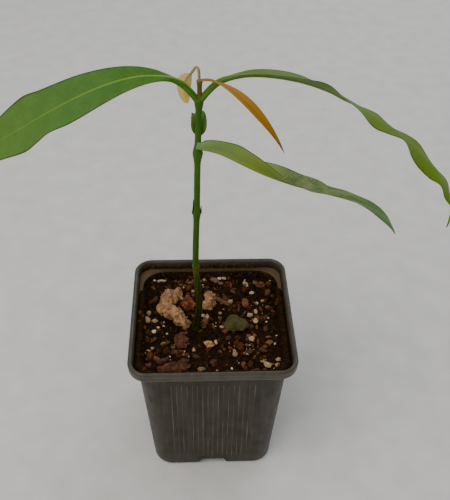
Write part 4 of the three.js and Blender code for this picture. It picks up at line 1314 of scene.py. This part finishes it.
# Lumps of about 9 mm and finer ones on them: height share, size in mm and where the noise starts.
BED_LUMPS = [(0.5, 9, (0, 0, 0)), (0.45, 3.6, (7, 3, 0)), (0.45, 1.4, (2, 9, 0))]
HEAP, HEAP_START, HEAP_END, HEAP_FOOT = 1.2, 14.0, 30.0, 0.93


def soil_height(x, y):
    """Height of the bed in mm, calmer at the stem."""
    spot = Vector((x, y, 0.0))
    lumps = sum(
        share * noise.noise(spot / size + Vector(start)) for share, size, start in BED_LUMPS
    )
    away = math.hypot(x - STEM_X, y - STEM_Y)
    relief = CALM_SHARE + (1 - CALM_SHARE) * smoothstep(away, CALM_FROM, CALM_TO)
    return SOIL_LEVEL + SOIL_RELIEF * lumps * relief


def heap_share(y):
    """How much mix is heaped on the ledge at y, from 1 down to 0 at the back."""
    return 1 - smoothstep(y, HEAP_START, HEAP_END)


def heap_ring(low, high, spread):
    """Edge of the bed that climbs to the ledge and, with spread 1, reaches out over it."""
    ring = []
    for near, far in zip(
        square_ring(edge_width, edge_corner, 0), square_ring(collar_width, collar_corner, 0)
    ):
        heap = heap_share(near.y)
        point = near.lerp(far, spread * max(0.0, 4 * heap - 3))
        point.z = low + (high - low) * min(1.0, 2 * heap)
        ring.append(point)
    return ring


bed_rings = [inner_ring(floor_top + BED_FOOT, BED_ROUND)]
for height_mm in (floor_top + BED_ROUND, 30.0, 55.0, 72.0):
    bed_rings.append(inner_ring(height_mm, BED_GAP))
edge_width, edge_corner = body_at(SOIL_LEVEL)
edge_width -= 2 * (WALL + BED_GAP)
edge_corner -= WALL + BED_GAP
collar_width = collar - COLLAR_GAP
collar_corner = inner_corner - COLLAR_ROUND
for low, over_ledge, spread in [(74.0, 0.1, 0), (74.2, 0.1, 1), (74.4, HEAP, 1)]:
    bed_rings.append(heap_ring(low, ledge + over_ledge, spread))
for i in range(BED_RINGS, 0, -1):
    share = i / BED_RINGS
    ring = square_ring(edge_width * share, edge_corner * share, 0)
    for point in ring:
        level = soil_height(point.x, point.y)
        climb = smoothstep(share, HEAP_FOOT, 1.0) * min(1.0, 2 * heap_share(point.y))
        point.z = level + (ledge + HEAP - level) * climb
    bed_rings.append(ring)
bed_mesh = loft_mesh("mix_bed", bed_rings)
tidy_mesh(bed_mesh)
bed_tone = bed_mesh.attributes.new("tone", "FLOAT", "POINT")
# The heap on the ledge is drier, so its tone is paler.
heights = [v.co.z / MM for v in bed_mesh.vertices]
tones = [SHADED_BED_TONE + HEAP_TONE * smoothstep(z, ledge - HEAP_EDGE, ledge) for z in heights]
bed_tone.data.foreach_set("value", tones)
add_piece("mix_bed", bed_mesh, [mix_finish], "potting_mix", "soil")

# %% Strewing tree


def strew_tree(name, finish, bumpy, faces_level):
    """Tree that strews small lumpy grains over the top of its object."""
    tree, given, result = new_tree(
        name,
        [
            ("Least Distance", "NodeSocketFloat", 0.002),
            ("Most Per Area", "NodeSocketFloat", 100000.0), ("Smallest", "NodeSocketFloat", 0.0005),
            ("Largest", "NodeSocketFloat", 0.0015), ("Shape", "NodeSocketVector", (1.0, 1.0, 1.0)),
            ("Patches", "NodeSocketFloat", 0.5), ("Reach", "NodeSocketFloat", 0.033),
            ("Seed", "NodeSocketInt", 1),
        ],
    )
    normal = add_node(tree, "GeometryNodeInputNormal")
    normal_parts = add_node(tree, "ShaderNodeSeparateXYZ", None, {"Vector": normal})
    facing_up = add_node(
        tree, "FunctionNodeCompare", {"operation": "GREATER_THAN", 1: 0.25},
        {0: normal_parts.outputs["Z"]},
    )
    # Patches of about 9 mm are denser. Patches is how much of the ground between them is bare.
    clumps = add_node(tree, "ShaderNodeTexNoise", {"Scale": 110.0, "Detail": 1.0})
    density = add_node(
        tree, "ShaderNodeMapRange", {"From Max": 0.75},
        {"Value": clumps.outputs["Fac"], "From Min": given.outputs["Patches"]},
    )
    spots = add_node(
        tree, "GeometryNodeDistributePointsOnFaces", {"distribute_method": "POISSON"},
        {
            "Mesh": given.outputs["Geometry"], "Selection": facing_up,
            "Distance Min": given.outputs["Least Distance"],
            "Density Max": given.outputs["Most Per Area"], "Density Factor": density,
            "Seed": given.outputs["Seed"],
        },
    )
    position = add_node(tree, "GeometryNodeInputPosition")
    distance = add_node(tree, "ShaderNodeVectorMath", {"operation": "ABSOLUTE"}, {0: position})
    distance_parts = add_node(tree, "ShaderNodeSeparateXYZ", None, {"Vector": distance})
    furthest = add_node(
        tree, "ShaderNodeMath", {"operation": "MAXIMUM"},
        {0: distance_parts.outputs["X"], 1: distance_parts.outputs["Y"]},
    )
    beyond = add_node(
        tree, "FunctionNodeCompare", {"operation": "GREATER_THAN"},
        {0: furthest, 1: given.outputs["Reach"]},
    )
    kept = add_node(
        tree, "GeometryNodeDeleteGeometry", {"domain": "POINT"},
        {"Geometry": spots.outputs["Points"], "Selection": beyond},
    )
    ball = add_node(tree, "GeometryNodeMeshIcoSphere", {"Radius": 1.0, "Subdivisions": faces_level})
    lump = add_node(tree, "ShaderNodeTexNoise", {"Scale": 1.5, "Detail": 3.0})
    lump_shift = add_node(
        tree, "ShaderNodeVectorMath", {"operation": "SUBTRACT", 1: (0.5, 0.5, 0.5)},
        {0: lump.outputs["Color"]},
    )
    lump_size = add_node(
        tree, "ShaderNodeVectorMath", {"operation": "SCALE", "Scale": bumpy}, {0: lump_shift}
    )
    grain = add_node(
        tree, "GeometryNodeSetPosition", None,
        {"Geometry": ball.outputs["Mesh"], "Offset": lump_size},
    )
    turned = add_node(
        tree, "FunctionNodeRandomValue", {"data_type": "FLOAT_VECTOR", 1: (6.283, 6.283, 6.283)},
        {"Seed": given.outputs["Seed"]},
    )
    # Small grains are the commonest: an even random number is raised to a power.
    chance = add_node(
        tree, "FunctionNodeRandomValue", {"data_type": "FLOAT"}, {"Seed": given.outputs["Seed"]}
    )
    mostly_small = add_node(
        tree, "ShaderNodeMath", {"operation": "POWER", 1: 2.2}, {0: chance.outputs[1]}
    )
    size = add_node(
        tree, "ShaderNodeMapRange", None,
        {
            "Value": mostly_small, "To Min": given.outputs["Smallest"],
            "To Max": given.outputs["Largest"],
        },
    )
    stretched = add_node(
        tree, "ShaderNodeVectorMath", {"operation": "SCALE"},
        {0: given.outputs["Shape"], "Scale": size},
    )
    placed = add_node(
        tree, "GeometryNodeInstanceOnPoints", None,
        {"Points": kept, "Instance": grain, "Rotation": turned, "Scale": stretched},
    )
    shade = add_node(
        tree, "FunctionNodeRandomValue", {"data_type": "FLOAT"}, {"Seed": given.outputs["Seed"]}
    )
    shaded = add_node(
        tree, "GeometryNodeStoreNamedAttribute",
        {"data_type": "FLOAT", "domain": "INSTANCE", "Name": "tone"},
        {"Geometry": placed, "Value": shade.outputs[1]},
    )
    real = add_node(tree, "GeometryNodeRealizeInstances", None, {"Geometry": shaded})
    smooth = add_node(tree, "GeometryNodeSetShadeSmooth", None, {"Geometry": real})
    dressed = add_node(tree, "GeometryNodeSetMaterial", {"Material": finish}, {"Geometry": smooth})
    tree.links.new(dressed.outputs[0], result.inputs[0])
    return tree


def strew(name, finish, slot, bumpy, faces_level, values):
    """Runs a strewing tree over a copy of the bed and keeps the grains as one piece."""
    tree = strew_tree(name.replace("_", " "), finish, bumpy, faces_level)
    carrier = new_object(name + "_carrier", bed_mesh.copy())
    add_piece(name, run_tree(carrier, tree, values, name), [finish], slot)


# %% [markdown]
# ## Crumbs, fibres and grains
# Peat crumbs are dark and nearly round, bark fibres are long and flat, and perlite is white
# volcanic glass, popped like corn into light crumbly grains. Each gets its own run of the
# strewing tree with sizes measured against the pot.

# %% Perlite and fibre finishes
perlite_finish, tree, shader = new_finish("popped perlite", Roughness=0.85, IOR=1.5)
place = add_node(tree, "ShaderNodeTexCoord").outputs["Object"]
tone = add_node(tree, "ShaderNodeAttribute", {"attribute_name": "tone"})
perlite_ramp = add_node(tree, "ShaderNodeValToRGB", None, {"Fac": tone.outputs["Fac"]})
set_ramp(
    perlite_ramp,
    [(0.0, "#4a2f17"), (0.38, "#775735"), (0.72, "#a48560"), (0.93, "#b8a588"), (1.0, "#c6c0b4")],
)
pits = add_node(tree, "ShaderNodeTexNoise", {"Scale": 2500.0, "Detail": 3.0}, {"Vector": place})
pit_share = add_node(
    tree, "ShaderNodeMapRange", {"From Min": 0.5, "From Max": 0.75, "To Max": 0.5},
    {"Value": pits.outputs["Fac"]},
)
pitted = add_node(
    tree, "ShaderNodeMix", {"data_type": "RGBA", MIX_SECOND: linear("#6b5238")},
    {MIX_FACTOR: pit_share, MIX_FIRST: perlite_ramp},
)
tree.links.new(pitted.outputs[MIX_RESULT], shader.inputs["Base Color"])

fibre_finish, tree, shader = new_finish("bark fibre", Roughness=0.85, IOR=1.4)
tone = add_node(tree, "ShaderNodeAttribute", {"attribute_name": "tone"})
fibre_ramp = add_node(tree, "ShaderNodeValToRGB", None, {"Fac": tone.outputs["Fac"]})
set_ramp(
    fibre_ramp,
    [(0.0, "#180c04"), (0.35, "#2c180a"), (0.65, "#452713"), (0.85, "#6e4626"), (1.0, "#642e10")],
)
tree.links.new(fibre_ramp.outputs[0], shader.inputs["Base Color"])

# %% Strew the bed
# Finish, slot, how bumpy the grains are and how finely they are divided. Then the least
# distance, the smallest and the largest radius and the reach from the middle, all in mm. Then
# the most grains per square metre, their shape, how bare the ground between patches is, and
# the seed.
STREWN = {
    "peat_crumbs": (
        mix_finish, "potting_mix", 0.9, 2, (1.4, 0.4, 1.3, 36.5), 1e5, (1.0, 1.0, 1.0), 0.2, 11
    ),
    "peat_clods": (
        mix_finish, "potting_mix", 1.3, 3, (3.0, 0.9, 2.2, 32.0), 1e5, (1.2, 0.9, 0.7), 0.25, 5
    ),
    "bark_flakes": (
        fibre_finish, "bark", 1.1, 2, (2.2, 0.3, 1.4, 32.5), 2.6e5, (1.5, 1.0, 0.5), 0.35, 23
    ),
    "bark_fibres": (
        fibre_finish, "bark", 0.5, 2, (3.5, 0.3, 0.7, 30.5), 4e4, (4.0, 0.6, 0.5), 0.3, 29
    ),
    "perlite_grains": (
        perlite_finish, "perlite", 1.1, 2, (1.2, 0.16, 0.75, 33.0), 1.7e5, (1.1, 0.9, 0.7), 0.45, 37
    ),
}
SIZE_NAMES = ("Least Distance", "Smallest", "Largest", "Reach")
for strewn_name, row in STREWN.items():
    finish, slot, bumpy, level, sizes, most, shape, patches, seed = row
    values = {key: size * MM for key, size in zip(SIZE_NAMES, sizes)}
    values |= {"Most Per Area": most, "Shape": shape, "Patches": patches, "Seed": seed}
    strew(strewn_name, finish, slot, bumpy, level, values)

# %% [markdown]
# ## Larger bits in their places
# The eye knows the bed by its larger bits: cream and white grains of perlite and brown bits of
# bark. Each is an icosphere pushed in and out with noise and pressed flat on the mix. A bit is
# written as its x and y, its length and width in mm, its turn in degrees and its tone from dark
# (0) to pale (1). The tone goes into the same attribute that the strewn grains use.

# %% Larger bits
PALE_BITS = [
    (2.6, 32, 4.8, 2.7, -20, 0.3), (5.7, 29.6, 2.6, 2.2, 10, 0.3), (5, 33, 2.2, 1.8, 0, 0.97),
    (7.4, 33, 2.2, 1.9, 0, 0.8), (-26.3, 32.4, 4.5, 2, 5, 0.85), (-3.2, 32.4, 1.9, 1.6, 0, 0.6),
    (19, 28.4, 5, 2.2, 115, 0.75), (21.7, 21.7, 2.4, 2.1, 0, 0.9), (10, 15.6, 3, 2.4, 20, 0.7),
    (23.8, 14, 1.7, 1.5, 0, 0.97), (27, 15.6, 1.9, 1.6, 0, 0.6), (22.9, 7.7, 1.8, 3.2, 0, 0.75),
    (19.8, 5.6, 2.9, 2.4, 0, 0.7), (22.4, 1.3, 2.3, 3.4, 0, 0.75), (-33, 3.4, 3.4, 4.4, 10, 0.75),
    (-32.2, 8.4, 2.2, 2.6, 0, 0.6), (-28.7, 2.7, 3, 2.2, 0, 0.65), (-28.9, -4.8, 2.3, 2.2, 0, 0.97),
    (-26.8, -2.1, 1.5, 1.3, 0, 0.9), (19.6, -10.9, 2.8, 3.2, 0, 0.72), (-4.4, 5.4, 2.4, 2, 0, 0.75),
    (-2.2, 5, 1.7, 3.2, 0, 0.75), (4.5, 7, 1.7, 1.5, 0, 0.6), (5.1, -2.1, 2.4, 1.9, 0, 0.7),
    (8.1, -2.8, 2.1, 1.8, 0, 0.65), (10.8, -20, 2.2, 4.2, 0, 0.55), (-8.9, -16.8, 1.8, 2.8, 0, 0.7),
    (1.8, -12.2, 1.4, 2.4, 0, 0.9), (-24.1, -12.9, 2.2, 1.8, 0, 0.45), (-31, -16.8, 2, 1.8, 0, 0.6),
    (-29.3, -16, 2, 1.7, 0, 0.55), (26.2, -27.5, 2.9, 3.8, 30, 0.7), (23.9, -25, 2, 1.8, 0, 0.75),
    (31.6, -24.4, 2.4, 2.2, 0, 0.7), (31, -28, 2.4, 2.2, 0, 0.6), (1.4, -30.6, 2.2, 1.9, 0, 0.65),
    (31.2, -14.2, 1.5, 1.4, 0, 0.97), (-9.3, 24, 2.1, 1.8, 0, 0.6), (-33, -4.8, 2.4, 2, 0, 0.4),
    (-5.5, -29.5, 3.6, 2.4, 20, 0.35),
]
BROWN_BITS = [
    (24.2, 29.3, 2.8, 2.3, 0, 0.85), (27.4, 29, 2.6, 2.3, 0, 0.8), (29.3, 11, 2.6, 2.1, 0, 0.8),
    (5, 16, 10.5, 2.6, -32, 0.78), (-10.9, 30, 2.4, 2, 0, 0.85), (6.6, -5.5, 2.8, 2.4, 0, 1.0),
    (28.3, -13.6, 3.4, 2.6, 0, 0.85), (-21, -32.4, 12, 1.7, 2, 0.85), (-24, -24, 5, 3, 20, 0.6),
    (14.9, -26.2, 2.2, 1.9, 0, 0.8), (-29, 18, 4, 2.6, 60, 0.55), (30, 22, 4.4, 3, 80, 0.7),
    (-27, -22.5, 4, 2.2, -30, 0.75), (8, -10, 3, 2.2, 40, 0.5), (-18, -19, 4.4, 2.8, 10, 0.55),
    (12, 24, 3, 2, 30, 0.6), (-14, -24.5, 5, 3, 15, 0.6), (-31, -27, 3.4, 2.6, 0, 0.7),
    (-8, -22, 3.6, 2.2, -20, 0.55), (-17, -28, 4.8, 2.4, -10, 0.75), (-11, -31.5, 4, 2, 5, 0.6),
    (0, -25.5, 3.6, 2.4, 30, 0.52), (7.5, -31.5, 3.8, 2.2, 0, 0.58), (18, -20, 3.2, 2.2, 40, 0.62),
    (25, -18.5, 3.6, 2.4, -30, 0.58), (14, -14.5, 3.2, 2.4, 0, 0.55), (27.5, 4, 3.2, 2.6, 30, 0.65),
    (27, -4.5, 3.6, 2.2, 80, 0.6), (-2, -17, 3.4, 2.2, 60, 0.5), (20.5, -31, 3.6, 2.2, 10, 0.6),
    (-22, -12, 3, 2.4, 0, 0.6), (-13, -12.5, 3.4, 2.2, 25, 0.55),
]
BIT_HEIGHT, BIT_SUNK = 0.7, 0.25
BIT_GRAIN, BIT_COARSE, BIT_FINE, BIT_APART = 1.3, 0.45, 0.22, 7.1


def bits_mesh(name, bits):
    """One mesh of flat lumpy bits, each with its tone on its points."""
    work = bmesh.new()
    tone_layer = work.verts.layers.float.new("tone")
    for index, (x, y, long, wide, turned, bit_tone) in enumerate(bits):
        made = bmesh.ops.create_icosphere(work, subdivisions=4, radius=1.0)["verts"]
        tall = BIT_HEIGHT * min(long, wide)
        base = Vector((x, y, soil_height(x, y) + tall * (0.5 - BIT_SUNK)))
        spin = Matrix.Rotation(math.radians(turned), 3, "Z")
        for vertex in made:
            spot = vertex.co * BIT_GRAIN + Vector((BIT_APART * index, 0, 0))
            lump = 1 + BIT_COARSE * noise.noise(spot) + BIT_FINE * noise.noise(spot * 3)
            shaped = Vector(
                (vertex.co.x * long, vertex.co.y * wide, vertex.co.z * tall)
            ) * (0.5 * lump)
            vertex.co = (base + spin @ shaped) * MM
            vertex[tone_layer] = bit_tone
    mesh = bpy.data.meshes.new(name)
    work.to_mesh(mesh)
    work.free()
    tidy_mesh(mesh)
    return mesh


add_piece("pale_bits", bits_mesh("pale_bits", PALE_BITS), [perlite_finish], "perlite")
add_piece("brown_bits", bits_mesh("brown_bits", BROWN_BITS), [fibre_finish], "bark")

# %% [markdown]
# ## Husk, pebble and bark
# On the mix lie the broken husk of the seed that the tree grew from, a mossy pebble and a few
# bark chips. Their CAD solids are plain lumps. A copy of each is merged, remeshed to an even
# fine grid, and pushed in and out with noise, which gives the broken, papery edges.

# %% Weathered copies of the CAD lumps
COARSE_SIZE, FINE_SIZE, WORN_IN = 3.0, 1.1, 0.4


def weathered(node, name, voxel, coarse, fine, seed):
    """Finer copy of a CAD solid. coarse and fine are depths in mm of 3 mm and 1 mm relief."""
    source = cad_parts[node]
    mesh = source.data.copy()
    mesh.transform(source.matrix_world)
    work = bmesh.new()
    work.from_mesh(mesh)
    bmesh.ops.remove_doubles(work, verts=work.verts, dist=1e-6)
    work.to_mesh(mesh)
    work.free()
    carrier = new_object(name + "_carrier", mesh)
    remesh = carrier.modifiers.new("even", "REMESH")
    remesh.mode = "VOXEL"
    remesh.voxel_size = voxel * MM
    fine_mesh = baked_mesh(carrier, name)
    normals = [v.normal.copy() for v in fine_mesh.vertices]
    for vertex, normal in zip(fine_mesh.vertices, normals):
        spot = vertex.co / MM
        push = coarse * noise.noise(spot / COARSE_SIZE + Vector((seed, 0, 0)))
        push += fine * noise.turbulence(spot / FINE_SIZE + Vector((0, seed, 0)), 3, False)
        vertex.co += normal * ((push - WORN_IN * fine) * MM)
    tidy_mesh(fine_mesh)
    return fine_mesh


# %% Husk and bark finishes


def lump_finish(name, stops, grain_scale, depth, roughness):
    """Rough natural surface whose colour follows its own grain."""
    material, tree, shader = new_finish(name, Roughness=roughness, IOR=1.4)
    place = add_node(tree, "ShaderNodeTexCoord").outputs["Object"]
    grain = add_node(
        tree, "ShaderNodeTexNoise", {"Scale": grain_scale, "Detail": 7.0, "Roughness": 0.62},
        {"Vector": place},
    )
    ramp = add_node(tree, "ShaderNodeValToRGB", None, {"Fac": grain.outputs["Fac"]})
    set_ramp(ramp, stops)
    tree.links.new(ramp.outputs[0], shader.inputs["Base Color"])
    relief = add_node(
        tree, "ShaderNodeBump", {"Strength": 0.7, "Distance": depth * MM},
        {"Height": grain.outputs["Fac"]},
    )
    tree.links.new(relief.outputs[0], shader.inputs["Normal"])
    return material


# Colour stops, grain scale, depth of relief in mm and roughness. Grain scales are one over the
# patch size in metres: 400 gives patches of about 2.5 mm.
LUMP_FINISHES = {
    "dry seed husk": (
        [(0.3, "#4c3018"), (0.42, "#7e5836"), (0.58, "#a47c52"), (0.75, "#c6a07a")], 400.0, 0.35,
        0.85,
    ),
    "orange husk lining": (
        [(0.3, "#1e0b02"), (0.5, "#4e2304"), (0.62, "#88420a"), (0.78, "#ba6a18")], 350.0, 0.4, 0.7
    ),
    "mossy stone": (
        [(0.3, "#2a2208"), (0.5, "#40370e"), (0.65, "#4c4416"), (0.8, "#5a4c1e")], 300.0, 0.2, 0.9
    ),
    "cream perlite": ([(0.3, "#5e3c18"), (0.5, "#a07442"), (0.7, "#d4b07a")], 500.0, 0.4, 0.85),
    "red brown bark": (
        [(0.3, "#200e04"), (0.5, "#522c14"), (0.65, "#703e1e"), (0.8, "#8c5830")], 380.0, 0.5, 0.9
    ),
    "tan bark": (
        [(0.3, "#190c03"), (0.5, "#44220a"), (0.65, "#673a16"), (0.8, "#96642e")], 420.0, 0.5, 0.9
    ),
    "orange bark": (
        [(0.3, "#3a1c08"), (0.5, "#6e4420"), (0.65, "#8e5e30"), (0.8, "#b8865a")], 420.0, 0.4, 0.9
    ),
}
lump_finishes = {name: lump_finish(name, *values) for name, values in LUMP_FINISHES.items()}

# %% Make the lumps
# Node, finish, slot, voxel size in mm, and the depths in mm of its coarse and fine relief.
LUMPS = [
    ("husk_left", "dry seed husk", "seed_husk", 0.3, 1.7, 0.7),
    ("husk_right", "dry seed husk", "seed_husk", 0.3, 1.4, 0.7),
    ("husk_core", "orange husk lining", "bark", 0.3, 0.7, 0.7),
    ("husk_crumb", "orange bark", "seed_husk", 0.25, 0.6, 0.6),
    ("mossy_pebble", "mossy stone", "mossy_stone", 0.3, 0.4, 0.25),
    ("pale_chunk", "cream perlite", "perlite", 0.2, 0.4, 0.5),
    ("bark_left", "red brown bark", "bark", 0.25, 0.5, 0.6),
    ("bark_front", "tan bark", "bark", 0.25, 0.4, 0.5),
    ("bark_right", "orange bark", "seed_husk", 0.2, 0.4, 0.5),
    ("bark_back", "red brown bark", "bark", 0.25, 0.4, 0.5),
]
for seed, (node, finish, slot, voxel, coarse, fine) in enumerate(LUMPS):
    lump_mesh = weathered(node, node + "_rough", voxel, coarse, fine, 3.7 * seed)
    add_piece(node + "_rough", lump_mesh, [lump_finishes[finish]], slot, node)

# %% [markdown]
# ## Floor and light
# The plant stands on a plain pale floor in soft studio light. A large lamp above and to the
# left in front throws faint shadows to the back right, as in the photograph, a second one
# behind gives the leaves their edges, and a pale sky fills the rest.

# %% Floor
floor_finish, tree, shader = new_finish("plain pale floor", Roughness=0.9)
place = add_node(tree, "ShaderNodeTexCoord").outputs["Object"]
weave = add_node(tree, "ShaderNodeTexNoise", {"Scale": 60.0, "Detail": 4.0}, {"Vector": place})
floor_ramp = add_node(tree, "ShaderNodeValToRGB", None, {"Fac": weave.outputs["Fac"]})
set_ramp(floor_ramp, [(0.3, "#cac7c1"), (0.7, "#d4d1cc")])
tree.links.new(floor_ramp.outputs[0], shader.inputs["Base Color"])
FLOOR_REACH = 3.0
floor_mesh = bpy.data.meshes.new("floor")
floor_corners = [
    (FLOOR_REACH * x, FLOOR_REACH * y, 0) for x, y in ((-1, -1), (1, -1), (1, 1), (-1, 1))
]
floor_mesh.from_pydata(floor_corners, [], [(0, 1, 2, 3)])
floor_mesh.materials.append(floor_finish)
floor = new_object("floor", floor_mesh)

# %% Lamps and sky
LAMP_TARGET = (0, 0, 0.1)


def add_lamp(name, place, target, size, power, colour):
    """Square soft lamp at place that points at target. Lengths in metres, power in watts."""
    data = bpy.data.lights.new(name, "AREA")
    data.shape = "SQUARE"
    data.size = size
    data.energy = power
    data.color = linear(colour)[:3]
    lamp = new_object(name, data)
    lamp.location = place
    lamp.rotation_euler = (Vector(target) - Vector(place)).to_track_quat("-Z", "Y").to_euler()


add_lamp("window", (-0.55, -0.45, 1.15), LAMP_TARGET, size=1.0, power=10.0, colour="#fffdf8")
add_lamp("behind", (0.5, 0.9, 0.9), LAMP_TARGET, size=0.8, power=4.0, colour="#f4f7ff")
world = bpy.data.worlds.new("sky")
bpy.context.scene.world = world
world.use_nodes = True
sky = world.node_tree.nodes["Background"]
sky.inputs["Color"].default_value = linear("#e9edf2")
sky.inputs["Strength"].default_value = 0.7
